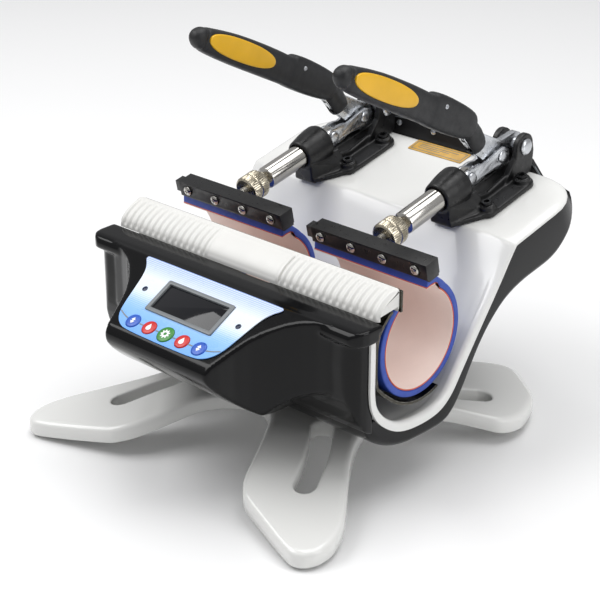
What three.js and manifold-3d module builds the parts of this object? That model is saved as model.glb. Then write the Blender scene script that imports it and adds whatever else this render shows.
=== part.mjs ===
// Twin-bay mug heat press: moulded stand, two heater wraps and two toggle clamps.
// Millimetres, +Z up, front towards -Y. Shapes are laid out around the mug axis
// (y = 0, z = 0) and the whole group is then lifted so the foot pads rest on z = 0.
import * as THREE from 'three';
import { mergeVertices } from 'three/addons/utils/BufferGeometryUtils.js';
import Module from 'manifold-3d';

const wasm = await Module();
wasm.setup();

// ---- overall placement
const GROUND_Z = -132;            // underside of the foot pads below the mug axis
const CENTRE_Y = 28.1;             // middle of the footprint behind the mug axis
const BAY_X = 77.5;               // clamp centre lines either side of the middle
const GAP = 0.3;                  // running clearance between separate pieces
const WELD = 0.01;                // corners closer than this are one corner

// ---- heater wraps
const WRAP_R = 49;
const WRAP_MID_R = 43.2;
const WRAP_IN_R = 41.6;
const WRAP_START = 122;           // front end, degrees from +Y towards +Z
const WRAP_END = 443;             // rear end, past the bottom and up the back
const WRAP_X = [-57, 62.5];       // along the mug axis, from the clamp line

// ---- tray, lower shell
const TRAY_HALF = 148;
const TRAY_T = 4;
const RIM_T = 8;
const RIM_W = 7;
const TROUGH = [[-70, 28], [-70, -28], [-65, -42], [-56, -53], [-42, -63.5], [-26, -69.5], [-6, -71.5],
  [12, -70.5], [24, -66.5], [35, -57.5], [44, -45]];
const KINK = [113, 49];
const DECK_ANGLE = THREE.MathUtils.degToRad(12);
const DECK_END = 101;             // length of the upper deck along its slope
const DECK_TOP = 2;               // deck surface above the clamp reference line
const SKIRT = [[-72, -52], [-60, -70], [-32, -84], [3, -86.5], [28, -86.5], [40, -79], [50, -66], [60, -49],
  [72, -31], [86, -16], [106, -1], [128, 7], [150, 11], [168, 14], [182, 20], [194, 31], [204, 45],
  [210, 56], [212.5, 62]];
const SHELL_REAR = 212.5;
const SHELL_HALF = 145.5;
const SHELL_T = 3;
const REAR_R = 42;                // rounded rear corners in plan

// ---- front housing
const HOUSING_HALF = 153;
const FACE_ANGLE = THREE.MathUtils.degToRad(27);
const FACE_TOP = [-88, 36.5];     // top edge of the sloped control face
const FACE_LEN = 72;
const LABEL_T = 0.8;
const BUTTON_R = 6.4;
const BUTTON_PITCH = 18.6;
const BUTTON_U = 62.2;            // down the sloped face from its top edge
const LCD_U = [15.4, 48.3];
const LCD_HALF = 37.5;

// ---- ribbed cover
const RIBS = 15;                  // grooves on each side of the plain panel
const RIB_START = 43;
const RIB_PITCH = 6.9;
const RIB_GROOVE = 2.6;

// ---- clamps, laid out along the deck slope (s rearward, n away from the deck)
const AXIS_N = 29;                // plunger axis above the deck
const P0_S = 94;
const LEVER_A = 23;               // lever pivot to link pin
const LINK_B = 43.4;              // link pin to plunger pin
const P1_S = P0_S - LEVER_A;
const P2_S = P1_S - LINK_B;
const PLUNGER_R = 10;
const BARREL_FRONT = -13;
const BARREL_REAR = 17;
const NUT_S = [-82.5, -60.5];
const NUT_R = 12.5;
const BAR_S = [-107, -92];
const BAR_N = [23, 37];
const BAR_X = [-56, 65];
const BAR_SCREWS = [-46, -13, 20, 53];
const LINK_X = [3.6, 6.4];        // link plates either side of the clamp line
const LINK_TIE_S = P2_S + 13.4;   // round tie between the two link plates
const GRIP_START = [40, 76];
const GRIP_ANGLE = THREE.MathUtils.degToRad(141.8);
const LEVER_ELBOW = [45, 54];
const WINDOW_START = 17;          // window in the lever for its pin: middle of the inner end, from the pivot
const WINDOW_R = 7.3;
const GRIP_HALF = 8.5;            // half the grip's thickness across
const INSET = { u: 131, v: -1, halfLength: 43, halfHeight: 10.4 };

// ---- base stand
const STAND_TOP = -87.4;
const STAND_LOW = -129.4;
const STAND_WALL = 14;             // height of the stand's edge, which follows its arch
const FEET = [[118, -128], [118, 140]];

// ---------------------------------------------------------------- helpers

function solidOf(geometry) {
  const bare = geometry.index ? geometry.clone() : geometry;
  bare.deleteAttribute('normal');
  bare.deleteAttribute('uv');
  const merged = mergeVertices(bare, 1e-4);
  const mesh = new wasm.Mesh({
    numProp: 3,
    vertProperties: new Float32Array(merged.attributes.position.array),
    triVerts: new Uint32Array(merged.index.array),
  });
  mesh.merge();
  return new wasm.Manifold(mesh);
}

function geometryOf(solid) {
  const mesh = solid.getMesh();
  const geometry = new THREE.BufferGeometry();
  geometry.setAttribute('position', new THREE.BufferAttribute(new Float32Array(mesh.vertProperties), 3));
  geometry.setIndex(new THREE.BufferAttribute(new Uint32Array(mesh.triVerts), 1));
  return geometry;
}

function join(...geometries) {
  return geometryOf(geometries.map(solidOf).reduce((a, b) => a.add(b)));
}

function cut(body, ...tools) {
  return geometryOf(tools.map(solidOf).reduce((a, b) => a.subtract(b), solidOf(body)));
}

function common(a, b) {
  return geometryOf(solidOf(a).intersect(solidOf(b)));
}

function outline(points, holes = []) {
  const shape = new THREE.Shape(points.map((p) => new THREE.Vector2(p[0], p[1])));
  for (const hole of holes) {
    shape.holes.push(new THREE.Path(hole.map((p) => new THREE.Vector2(p[0], p[1]))));
  }
  return shape;
}

function prism(points, depth, holes = []) {
  return new THREE.ExtrudeGeometry(outline(points, holes), { depth, bevelEnabled: false, steps: 1 });
}

// outline in (y, z), pushed along x
function alongX(points, x0, x1, holes = []) {
  const turn = new THREE.Matrix4().makeBasis(
    new THREE.Vector3(0, 1, 0), new THREE.Vector3(0, 0, 1), new THREE.Vector3(1, 0, 0));
  return prism(points, x1 - x0, holes).applyMatrix4(turn).translate(x0, 0, 0);
}

// outline in (x, y), pushed along z
function alongZ(points, z0, z1, holes = []) {
  return prism(points, z1 - z0, holes).translate(0, 0, z0);
}

function block(x0, x1, y0, y1, z0, z1) {
  const box = new THREE.BoxGeometry(x1 - x0, y1 - y0, z1 - z0);
  return box.translate((x0 + x1) / 2, (y0 + y1) / 2, (z0 + z1) / 2);
}

function rodX(y, z, r, x0, x1, sides = 24) {
  const rod = new THREE.CylinderGeometry(r, r, x1 - x0, sides);
  return rod.rotateZ(Math.PI / 2).translate((x0 + x1) / 2, y, z);
}

function rodY(x, z, r0, r1, y0, y1, sides = 24) {
  const rod = new THREE.CylinderGeometry(r1, r0, y1 - y0, sides);
  return rod.translate(x, (y0 + y1) / 2, z);
}

function rodZ(x, y, r, z0, z1, sides = 24) {
  const rod = new THREE.CylinderGeometry(r, r, z1 - z0, sides);
  return rod.rotateX(Math.PI / 2).translate(x, y, (z0 + z1) / 2);
}

function arc(cx, cy, r, from, to, steps) {
  const points = [];
  for (let i = 0; i <= steps; i += 1) {
    const t = THREE.MathUtils.degToRad(from + (to - from) * i / steps);
    points.push([cx + r * Math.cos(t), cy + r * Math.sin(t)]);
  }
  return points;
}

// rounded strip between two round ends, seen from the side
function tapered(p, q, rp, rq, steps = 8) {
  const dir = Math.atan2(q[1] - p[1], q[0] - p[0]);
  const len = Math.hypot(q[0] - p[0], q[1] - p[1]);
  const lean = THREE.MathUtils.radToDeg(Math.asin((rp - rq) / len));
  const deg = THREE.MathUtils.radToDeg(dir);
  return [
    ...arc(q[0], q[1], rq, deg - 90 + lean, deg + 90 - lean, steps),
    ...arc(p[0], p[1], rp, deg + 90 - lean, deg + 270 + lean, steps),
  ];
}

function offsetPath(points, d) {
  return points.map((p, i) => {
    const a = points[Math.max(i - 1, 0)];
    const b = points[Math.min(i + 1, points.length - 1)];
    const len = Math.hypot(b[0] - a[0], b[1] - a[1]);
    return [p[0] - d * (b[1] - a[1]) / len, p[1] + d * (b[0] - a[0]) / len];
  });
}

function band(points, t) {
  return [...points, ...offsetPath(points, t).reverse()];
}

function roundedBox(x0, x1, y0, y1, rFront, rRear, steps = 6) {
  return [
    ...arc(x1 - rFront, y0 + rFront, rFront, -90, 0, steps),
    ...arc(x1 - rRear, y1 - rRear, rRear, 0, 90, steps),
    ...arc(x0 + rRear, y1 - rRear, rRear, 90, 180, steps),
    ...arc(x0 + rFront, y0 + rFront, rFront, 180, 270, steps),
  ];
}

function onDeck(s, n = 0) {
  const c = Math.cos(DECK_ANGLE);
  const k = Math.sin(DECK_ANGLE);
  return [KINK[0] + s * c - n * k, KINK[1] + s * k + n * c];
}

function clampPlace(x) {
  return new THREE.Matrix4().makeTranslation(x, KINK[0], KINK[1])
    .multiply(new THREE.Matrix4().makeRotationX(DECK_ANGLE));
}

// frame of the sloped control face: x across, y down the face, z out of it
function facePlace() {
  const down = new THREE.Vector3(0, -Math.cos(FACE_ANGLE), -Math.sin(FACE_ANGLE));
  const out = new THREE.Vector3(0, -Math.sin(FACE_ANGLE), Math.cos(FACE_ANGLE));
  const across = new THREE.Vector3().crossVectors(down, out);
  const place = new THREE.Matrix4().makeBasis(across, down, out);
  return place.setPosition(0, FACE_TOP[0], FACE_TOP[1]);
}

// ---------------------------------------------------------------- materials

const paint = (color, roughness, metalness = 0) =>
  new THREE.MeshStandardMaterial({ color, roughness, metalness });
const whitePlastic = paint(0xf2f2ee, 0.25);
const ribPlastic = paint(0xeceae4, 0.5);
const blackGloss = paint(0x0a0a0b, 0.12);
const blackCast = paint(0x121213, 0.4);
const gripPlastic = paint(0x17181a, 0.45);
const yellowPlastic = paint(0xf2b705, 0.35);
const galvanised = paint(0xb9bcc0, 0.35, 1);
const chrome = paint(0xd8dadd, 0.12, 1);
const nickel = paint(0xb8ac92, 0.35, 1);
const darkSteel = paint(0x3b3a34, 0.35, 1);
const silicone = paint(0x2f50b4, 0.6);
const liner = paint(0xe7b9a6, 0.6);
const labelBlue = paint(0x8fc4ec, 0.3);
const lcdGrey = paint(0x8b9299, 0.35);
const screenBlack = paint(0x08090a, 0.08);
const buttonBlue = paint(0x2f6fc4, 0.35);
const buttonRed = paint(0xd8322a, 0.35);
const buttonGreen = paint(0x4aa53c, 0.35);
const amber = paint(0xd9a441, 0.4);
const boardGreen = paint(0x1d5b35, 0.6);
const rubber = paint(0x151515, 0.9);
const blackPlastic = paint(0x131314, 0.5);

// ---------------------------------------------------------------- stand

function footPlan() {
  const right = [
    [0, -42], [16, -46], [30, -58], [42, -78], [53, -102], [63, -124], [76, -137],
    [146, -164], [157, -163], [166, -150], [167, -132], [158, -110], [138, -84], [116, -56], [100, -30],
    [92, -4], [92, 22], [102, 50], [122, 74], [146, 92], [156, 104], [157, 126], [148, 150], [136, 165],
    [100, 192], [86, 192], [70, 176], [56, 150], [42, 122], [26, 104], [0, 96],
  ];
  const left = right.slice(1, -1).reverse().map((p) => [-p[0], p[1]]);
  return [...right, ...left];
}

function slotPlan(side, spine, half) {
  const tip = (end, before) => {
    const len = Math.hypot(end[0] - before[0], end[1] - before[1]);
    const reach = 0.75 * half / len;
    return [end[0] + (end[0] - before[0]) * reach, end[1] + (end[1] - before[1]) * reach];
  };
  const last = spine.length - 1;
  const ring = [...offsetPath(spine, half), tip(spine[last], spine[last - 1]),
    ...offsetPath(spine, -half).reverse(), tip(spine[0], spine[1])];
  return ring.map((p) => [side * p[0], p[1]]);
}

function dome(top, low, reach) {
  const profile = [[0, low], [1, low], [1, low + 13], [0.86, low + 17], [0.6, low + 30], [0.44, top - 3],
    [0.38, top], [0, top]].map((p) => new THREE.Vector2(p[0], p[1]));
  const lathe = new THREE.LatheGeometry(profile, 32);
  return lathe.rotateX(Math.PI / 2).scale(reach, reach, 1).translate(0, 14, 0);
}

function shrink(points, d) {
  return offsetPath([points[points.length - 1], ...points, points[0]], d).slice(1, -1);
}

function baseStand() {
  const plan = footPlan();
  const front = [[72, -40], [84, -56], [96, -76], [107, -100]];
  const rear = [[78, 62], [92, 80], [106, 98], [118, 116]];
  const slots = [1, -1].flatMap((side) => [front, rear].map((spine) =>
    alongZ(slotPlan(side, spine, 10), STAND_LOW - 2, STAND_TOP + 4)));
  const outside = common(alongZ(plan, STAND_LOW, STAND_TOP + 5), dome(STAND_TOP, STAND_LOW - 2, 236));
  const hollow = common(
    alongZ(shrink(plan, 3.2), STAND_LOW - 1, STAND_TOP + 2), dome(STAND_TOP - 4, STAND_LOW - 3, 228));
  const slotWalls = [1, -1].flatMap((side) => [front, rear].map((spine) =>
    alongZ(slotPlan(side, spine, 12.5), STAND_LOW - 2, STAND_TOP + 4)));
  const pads = FEET.flatMap(([x, y]) => [x, -x].map((side) => rodZ(side, y, 9, STAND_LOW - 2, STAND_TOP)));
  const arch = dome(STAND_TOP - STAND_WALL, STAND_LOW - 2 - STAND_WALL, 236);
  return cut(outside, cut(hollow, ...slotWalls, ...pads), cut(arch, ...pads), ...slots);
}

// ---------------------------------------------------------------- tray and shell

function trayPath() {
  return [...TROUGH, onDeck(0.5, DECK_TOP - TRAY_T), onDeck(DECK_END, DECK_TOP - TRAY_T)];
}

function rearTrim() {
  const rear = KINK[0] + DECK_END * Math.cos(DECK_ANGLE);
  return alongZ(roundedBox(-TRAY_HALF, TRAY_HALF, -90, rear, 4, REAR_R), -100, 100);
}

function trayDeck() {
  const path = trayPath();
  const sheet = alongX(band(path, TRAY_T), -TRAY_HALF, TRAY_HALF);
  const rim = [...TROUGH, [88, 15]];
  const right = alongX(band(rim, RIM_T), TRAY_HALF - RIM_W, TRAY_HALF);
  const left = alongX(band(rim, RIM_T), -TRAY_HALF, RIM_W - TRAY_HALF);
  return common(join(sheet, left, right), rearTrim());
}

function lowerShell() {
  const under = offsetPath(trayPath(), -GAP * 2).slice(2).map((p) => [Math.min(p[0], SHELL_REAR), p[1]]);
  const full = alongX([...SKIRT, ...under.reverse()], -SHELL_HALF, SHELL_HALF);
  const floor = offsetPath(SKIRT, SHELL_T).map((p) => [Math.min(p[0], 240), p[1]]);
  const innerHalf = SHELL_HALF - SHELL_T;
  const inside = alongX([...floor, [240, 62], [240, 120], [-70, 120]], -innerHalf, innerHalf);
  const plan = (d) => roundedBox(d - SHELL_HALF, SHELL_HALF - d, -100, SHELL_REAR - d, 4, REAR_R - d);
  const rounded = (d) => alongZ(plan(d), -100, 130);
  const pan = common(full, rounded(0));
  const backDoor = block(-96, 96, 200, 230, 42, 64);
  return cut(pan, common(inside, rounded(SHELL_T)), backDoor);
}

function rearCover() {
  const half = 104;
  const panel = [[-half, 40], [half, 40], [half, 62], [88, 80], [66, 88], [-66, 88], [-88, 80], [-half, 62]];
  const turn = new THREE.Matrix4().makeBasis(
    new THREE.Vector3(1, 0, 0), new THREE.Vector3(0, 0, 1), new THREE.Vector3(0, -1, 0));
  const plate = prism(panel, 4).applyMatrix4(turn).translate(0, 217, 0);
  return cut(plate, block(-74.2, -45.8, 205, 225, 42, 62.2), block(-30.2, -14.8, 205, 225, 41.8, 62.2));
}

function powerInlet() {
  const flange = block(-76, -44, 217.1, 219.4, 41, 63.2);
  const body = block(-73.9, -46.1, 203, 217.5, 42.3, 61.9);
  const well = block(-71.6, -48.4, 206, 222, 44.4, 60);
  const prongs = [-66, -60, -54].map((x) => block(x - 1, x + 1, 205, 216, 50, 56));
  return join(cut(join(flange, body), well), ...prongs);
}

function powerSwitch() {
  const rock = [[210, 43.2], [216.5, 42.4], [219.6, 44.2], [217.4, 52], [219.6, 59.8], [216.5, 61.6],
    [210, 60.8]];
  const tilt = THREE.MathUtils.degToRad(-5);
  return alongX(rock, -29.6, -15.4).translate(0, -212, -52).rotateX(tilt).translate(0, 212, 52);
}

// ---------------------------------------------------------------- front housing

function facePoint(u, n) {
  const c = Math.cos(FACE_ANGLE);
  const k = Math.sin(FACE_ANGLE);
  return [FACE_TOP[0] - u * c - n * k, FACE_TOP[1] - u * k + n * c];
}

function podSection(inset) {
  const d = inset;
  return [[-71.5, 36.5 - d], [-88 + d * 0.3, 36.5 - d], facePoint(FACE_LEN - d, -d), [-158 + d, -2],
    [-157 + d, -9 + d * 0.4], [-148 + d, -20 + d * 0.6], [-122 + d * 0.6, -46 + d * 0.6],
    [-104 + d * 0.5, -58 + d], [-71.5, -66 + d]].reverse();
}

function podPlan(inset) {
  const half = [[0, -170], [52, -170], [58, -160], [62, -150], [66, -132], [72, -116], [82, -104], [98, -98],
    [98, -60], [0, -60]];
  const right = half.map((p) => [Math.max(p[0] - inset, 0), p[1]]);
  const left = right.slice(1, -1).reverse().map((p) => [-p[0], p[1]]);
  return [...right, ...left];
}

function bezelSection(inset) {
  const d = inset;
  return [[-71.5, 36.5 - d], [-88, 36.5 - d], [-96 + d * 0.5, 31.5 - d * 0.8], [-103 + d * 0.8, 24 - d * 0.4],
    [-106 + d, 12], [-105 + d, -4 + d * 0.4], [-100 + d, -12 + d], [-90 + d * 0.7, -17 + d * 0.6],
    [-86 + d, -30], [-82 + d, -48 + d * 0.4],
    [-71.5, -58 + d]].reverse();
}

function housingEnds(half, d) {
  const front = -110 + d;
  const h = half - d;
  return alongZ([[-h, -60], [-h, -84], [2.5 - h, -95], [9 - h, -103], [20 - h, front],
    [h - 20, front], [h - 9, -103], [h - 2.5, -95], [h, -84], [h, -60]], -100, 100);
}

function frontHousing() {
  const bar = common(alongX(bezelSection(0), -HOUSING_HALF, HOUSING_HALF), housingEnds(HOUSING_HALF, 0));
  const pod = common(alongX(podSection(0), -100, 100), alongZ(podPlan(0), -100, 100));
  const shelf = block(-HOUSING_HALF + 10, HOUSING_HALF - 10, -71.5, -61, 30.5, 36.5);
  const t = 3;
  const barIn = alongX(bezelSection(t).map((p) => [Math.min(p[0], -60), p[1]]).map((p) =>
    (p[0] > -71.6 ? [-70, p[1]] : p)), t - HOUSING_HALF + 4, HOUSING_HALF - t - 4);
  const podIn = common(alongX(podSection(t).map((p) => (p[0] > -71.6 ? [-70, p[1]] : p)), -96, 96),
    alongZ(podPlan(t + 1), -100, 100));
  const shell = cut(join(bar, pod, shelf), join(barIn, podIn));
  const place = facePlace();
  const lcdRoom = block(-LCD_HALF - GAP, LCD_HALF + GAP, LCD_U[0] - GAP, LCD_U[1] + GAP, -8, 3);
  const lcdPocket = lcdRoom.applyMatrix4(place);
  const holes = [-2, -1, 0, 1, 2].map((i) =>
    rodZ(i * BUTTON_PITCH, BUTTON_U, BUTTON_R + 0.25, -9, 4, 24).applyMatrix4(place));
  return cut(shell, lcdPocket, ...holes);
}

function labelPlan() {
  const half = [[0, 1], [76, 1], [76.5, 4], [72, 9], [68, 15], [65, 24], [62, 36], [59.5, 50], [57, 60],
    [54, 67],
    [48, 71], [0, 72]];
  const left = half.slice(1, -1).reverse().map((p) => [-p[0], p[1]]);
  return [...half, ...left];
}

function controlLabel() {
  const openings = [[[-LCD_HALF - GAP, LCD_U[0] - GAP], [-LCD_HALF - GAP, LCD_U[1] + GAP],
    [LCD_HALF + GAP, LCD_U[1] + GAP], [LCD_HALF + GAP, LCD_U[0] - GAP]]];
  for (let i = -2; i <= 2; i += 1) {
    openings.push(arc(i * BUTTON_PITCH, BUTTON_U, BUTTON_R + 0.25, 360, 15, 23));
  }
  return prism(labelPlan(), LABEL_T, openings).translate(0, 0, 0.05).applyMatrix4(facePlace());
}

function lcdBezel() {
  const frame = block(-LCD_HALF, LCD_HALF, LCD_U[0], LCD_U[1], -5, 2.2);
  const window = block(-33.5, 33.5, LCD_U[0] + 3.4, LCD_U[1] - 3.4, -2, 4);
  const back = block(-30, 30, LCD_U[0] + 6, LCD_U[1] - 6, -7, 0);
  return cut(frame, window, back).applyMatrix4(facePlace());
}

function lcdScreen() {
  return block(-33.2, 33.2, LCD_U[0] + 3.7, LCD_U[1] - 3.7, -1.9, 0.7).applyMatrix4(facePlace());
}

function button(i) {
  const cap = rodZ(i * BUTTON_PITCH, BUTTON_U, BUTTON_R, -3.5, 2.2, 24);
  return cap.applyMatrix4(facePlace());
}

function controlBoard() {
  const board = block(-50, 50, 10, 68, -10.6, -9);
  const chips = [[-30, 22, 9], [2, 30, 7], [28, 20, 8]].map(([x, y, w]) =>
    block(x - w, x + w, y - 5, y + 5, -13.2, -10.5));
  return join(board, ...chips).applyMatrix4(facePlace());
}

function powerBoard() {
  const board = block(-56, 24, -78.1, -76.5, -48, 10);
  const transformer = block(-50, -14, -98, -78, -34, -2);
  const relays = [-6, 10].map((x) => block(x, x + 12, -92, -78, -40, -20));
  return join(board, transformer, ...relays);
}

// ---------------------------------------------------------------- ribbed cover

function ribbedCover() {
  const half = 146;
  const section = [[-33, 40], [-33, 55], [-35, 56.6], [-44, 54.6], [-52, 50.6], [-58, 45.4], [-60, 41],
    [-60, 37.2],
    [-36, 37.2]].reverse();
  const body = alongX(section, -half, half);
  const grooves = [];
  for (let i = 0; i < RIBS; i += 1) {
    const x = RIB_START + i * RIB_PITCH;
    const groove = [[-43, 56], [-62, 50], [-62, 39.6], [-59, 39.6], [-58.6, 41.4], [-57, 44.4], [-51.4, 49.4],
      [-44, 53.3]];
    grooves.push(alongX(groove, x, x + RIB_GROOVE), alongX(groove, -x - RIB_GROOVE, -x));
  }
  const underside = block(-half + 4, half - 4, -57, -36, 30, 44);
  return cut(body, underside, ...grooves);
}

function coverStrip() {
  return block(-143, 143, -32.6, -28.4, 43.8, 54.2);
}

function cradle(x) {
  const path = [[-36.4, 35.6], [-44, 30], [-51.5, 21], [-54, 10], [-54, -22], [-49, -28], [-36, -39.4],
    [-26, -46.4],
    [-13, -51.6], [0, -53.4], [13, -51.8], [22, -48.4]];
  return alongX(band(path, -1.6).reverse(), x + WRAP_X[0] + 1, x + WRAP_X[1] + 1);
}

// ---------------------------------------------------------------- wraps

function sector(r0, r1, from, to, steps) {
  return [...arc(0, 0, r1, from, to, steps), ...arc(0, 0, r0, to, from, steps)];
}

function heaterWrap(x) {
  const shell = alongX(sector(WRAP_MID_R, WRAP_R, WRAP_START, WRAP_END, 44), x + WRAP_X[0], x + WRAP_X[1]);
  const clamped = [[21, 43.8], [18.4, 50.8], [6.2, 48.2], [7, 46]];
  const flange = alongX(clamped, x + WRAP_X[0], x + WRAP_X[1]);
  return join(shell, flange);
}

function wrapLiner(x) {
  return alongX(sector(WRAP_IN_R, WRAP_MID_R - 0.05, WRAP_START, WRAP_END, 44), x + WRAP_X[0], x + WRAP_X[1]);
}

// ---------------------------------------------------------------- toggle clamp

function clampBase() {
  const floor = DECK_TOP + GAP;
  const plate = alongZ(roundedBox(-32, 32, 14, 84, 9, 9, 4), floor, 7);
  const nose = alongZ([[-10, BARREL_FRONT + 2], [10, BARREL_FRONT + 2], [28, 19], [-28, 19]], floor, 6.6);
  const bosses = [[-23, 24], [23, 24], [-23, 74], [23, 74]].map(([x, s]) => rodZ(x, s, 7.4, floor, 11, 16));
  const barrel = rodY(0, AXIS_N, 13.2, 17, BARREL_FRONT, BARREL_REAR, 28);
  const saddle = block(-9, 9, BARREL_FRONT + 3, 26, floor, AXIS_N - 12);
  const cheeks = [1, -1].map((side) => {
    const lug = [[60, 3], [102, 3], [106, 20], ...arc(P0_S, AXIS_N, 11.5, -10, 170, 8), [80, 24], [66, 14]];
    return alongX(lug, side > 0 ? 8.4 : -14, side > 0 ? 14 : -8.4);
  });
  const tail = block(-14, 14, 80, 98, floor, 7);
  const ribs = [1, -1].map((side) => block(side > 0 ? 10 : -14, side > 0 ? 14 : -10, 20, 66, 5, 15));
  const body = join(plate, nose, ...bosses, barrel, saddle, ...cheeks, tail, ...ribs);
  const bore = rodY(0, AXIS_N, PLUNGER_R + GAP, PLUNGER_R + GAP, BARREL_FRONT - 5, BARREL_REAR + 30, 28);
  const pin = rodX(P0_S, AXIS_N, 5.2, -20, 20, 20);
  return cut(body, bore, pin);
}

function plunger() {
  const rod = rodY(0, AXIS_N, PLUNGER_R, PLUNGER_R, -57, 12, 28);
  const stud = rodY(0, AXIS_N, 4.6, 4.6, BAR_S[1] + GAP, -50, 16);
  const tab = alongX(tapered([6, AXIS_N], [P2_S, AXIS_N], 8.8, 8.8), -3.2, 3.2);
  return cut(join(rod, stud, tab), rodX(P2_S, AXIS_N, 4.2, -10, 10, 16));
}

function adjustNut() {
  const profile = [];
  const teeth = 30;
  for (let i = 0; i < teeth; i += 1) {
    const t = 360 * i / teeth;
    profile.push(...arc(0, 0, NUT_R, t, t + 5, 1), ...arc(0, 0, NUT_R - 0.8, t + 7, t + 10, 1));
  }
  const turn = new THREE.Matrix4().makeBasis(
    new THREE.Vector3(1, 0, 0), new THREE.Vector3(0, 0, -1), new THREE.Vector3(0, 1, 0));
  const knurl = prism(profile, 15).applyMatrix4(turn).translate(0, NUT_S[0] + 4, AXIS_N);
  const front = rodY(0, AXIS_N, 10.5, 11.5, NUT_S[0], NUT_S[0] + 4.2, 28);
  const rear = rodY(0, AXIS_N, 11.5, 9.5, NUT_S[1] - 3.2, NUT_S[1], 28);
  return cut(join(knurl, front, rear), rodY(0, AXIS_N, 4.9, 4.9, NUT_S[0] - 5, NUT_S[1] + 5, 16));
}

function pressureBar() {
  const bar = block(BAR_X[0], BAR_X[1], BAR_S[0], BAR_S[1], BAR_N[0], BAR_N[1]);
  const lug = block(BAR_X[0] - 8, BAR_X[0] + 1, BAR_S[0] + 3, BAR_S[1] - 3, BAR_N[0] + 1, BAR_N[1] - 3);
  const holes = BAR_SCREWS.map((x) => rodY(x, AXIS_N + 1, 2.3, 2.3, BAR_S[0] - 2, BAR_S[0] + 9, 12));
  return cut(join(bar, lug), ...holes);
}

function barScrew(x) {
  const head = rodY(x, AXIS_N + 1, 3.2, 4.4, BAR_S[0] - 2.6, BAR_S[0] - 0.05, 20);
  const shank = rodY(x, AXIS_N + 1, 2, 2, BAR_S[0] - 1, BAR_S[0] + 8, 12);
  const slot = block(x - 5, x + 5, BAR_S[0] - 4, BAR_S[0] - 1.6, AXIS_N + 0.5, AXIS_N + 1.5);
  return cut(join(head, shank), slot);
}

function toggleLink() {
  const mid = [(P1_S + P2_S) / 2, AXIS_N];
  const plates = [1, -1].map((side) => {
    const [x0, x1] = side > 0 ? LINK_X : [-LINK_X[1], -LINK_X[0]];
    const a = alongX(tapered([P1_S, AXIS_N], mid, 8.4, 8), x0, x1);
    const b = alongX(tapered(mid, [P2_S, AXIS_N], 8, 8.6), x0, x1);
    return join(a, b);
  });
  const tie = rodX(LINK_TIE_S, AXIS_N, 3.6, -4, 4, 16);
  const pins = [P1_S, P2_S].map((s) => rodX(s, AXIS_N, 4.2, -10, 10, 16));
  return cut(join(...plates, tie), ...pins);
}

function boltAcross(s, r, headR, grip, head) {
  const shank = rodX(s, AXIS_N, r, -grip - 1, grip + 1, 20);
  const right = rodX(s, AXIS_N, headR, grip, grip + head, 6);
  const left = rodX(s, AXIS_N, headR, -grip - head, -grip, 6);
  return join(shank, right, left);
}

function lever() {
  const elbow = LEVER_ELBOW;
  const root = alongX(tapered([P0_S, AXIS_N], [P1_S, AXIS_N], 11, 12.5), -3, 3);
  const arm = alongX(tapered([P1_S, AXIS_N], elbow, 12.5, 9), -3, 3);
  const tang = alongX(tapered(elbow, gripPoint(26, -2), 9, 5.5), -3, 3);
  const hub = rodX(P0_S, AXIS_N, 6.1, -8, 8, 24);
  const window = alongX(tapered([P0_S - WINDOW_START, AXIS_N], [P1_S, AXIS_N], WINDOW_R, WINDOW_R), -10, 10);
  return cut(join(root, arm, tang, hub), rodX(P0_S, AXIS_N, 5.2, -20, 20, 20), window);
}

function gripPoint(u, v) {
  const c = Math.cos(GRIP_ANGLE);
  const k = Math.sin(GRIP_ANGLE);
  return [GRIP_START[0] + u * c + v * k, GRIP_START[1] + u * k - v * c];
}

// frame of the grip: y along it from its thin end, z out of its top
function gripPlace() {
  const along = new THREE.Vector3(0, Math.cos(GRIP_ANGLE), Math.sin(GRIP_ANGLE));
  const up = new THREE.Vector3(0, Math.sin(GRIP_ANGLE), -Math.cos(GRIP_ANGLE));
  const across = new THREE.Vector3(-1, 0, 0);
  return new THREE.Matrix4().makeBasis(across, along, up).setPosition(0, GRIP_START[0], GRIP_START[1]);
}

function gripOutline(list) {
  return list.map(([u, v]) => gripPoint(u, v));
}

function grip() {
  const side = [[-3, -13], [10, -16], [34, -17], [70, -16], [130, -15.5], [162, -14], [174, -12.5], [182, -9],
    [186, -3], [184, 3], [176, 6.5], [166, 8], [150, 9.8], [120, 11.5], [90, 11.5], [72, 10], [66, 10],
    [60, 12.5], [46, 13], [20, 11.5], [8, 9], [-3, 5]];
  const body = alongX(gripOutline(side), -GRIP_HALF, GRIP_HALF);
  const plan = roundedBox(-GRIP_HALF, GRIP_HALF, -4, 190, 3, 8, 4);
  const limit = prism(plan, 80).translate(0, 0, -40).applyMatrix4(gripPlace());
  const sleeve = alongX(tapered([42, 60], gripPoint(6, -4), 11, 9), -6.5, 6.5);
  const pocket = alongX(tapered(LEVER_ELBOW, gripPoint(27, -2), 9.8, 6.3), -3.3, 3.3);
  return cut(join(common(body, limit), sleeve), pocket, insetCore(0.3, 0));
}

// oval that shows on both sides of the grip; grow widens it all round to make its seat
function insetCore(grow, proud) {
  const outline = [];
  for (let i = 0; i < 32; i += 1) {
    const turn = 2 * Math.PI * i / 32;
    const u = INSET.u + (INSET.halfLength + grow) * Math.cos(turn);
    const v = INSET.v + (INSET.halfHeight + grow) * Math.sin(turn);
    outline.push(gripPoint(u, v));
  }
  const reach = GRIP_HALF + (grow > 0 ? 1 : proud);
  return alongX(outline, -reach, reach);
}

function gripInset() {
  return insetCore(0, 1);
}

// ---------------------------------------------------------------- assembly

const root = new THREE.Group();
root.name = 'mug_heat_press';

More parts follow.
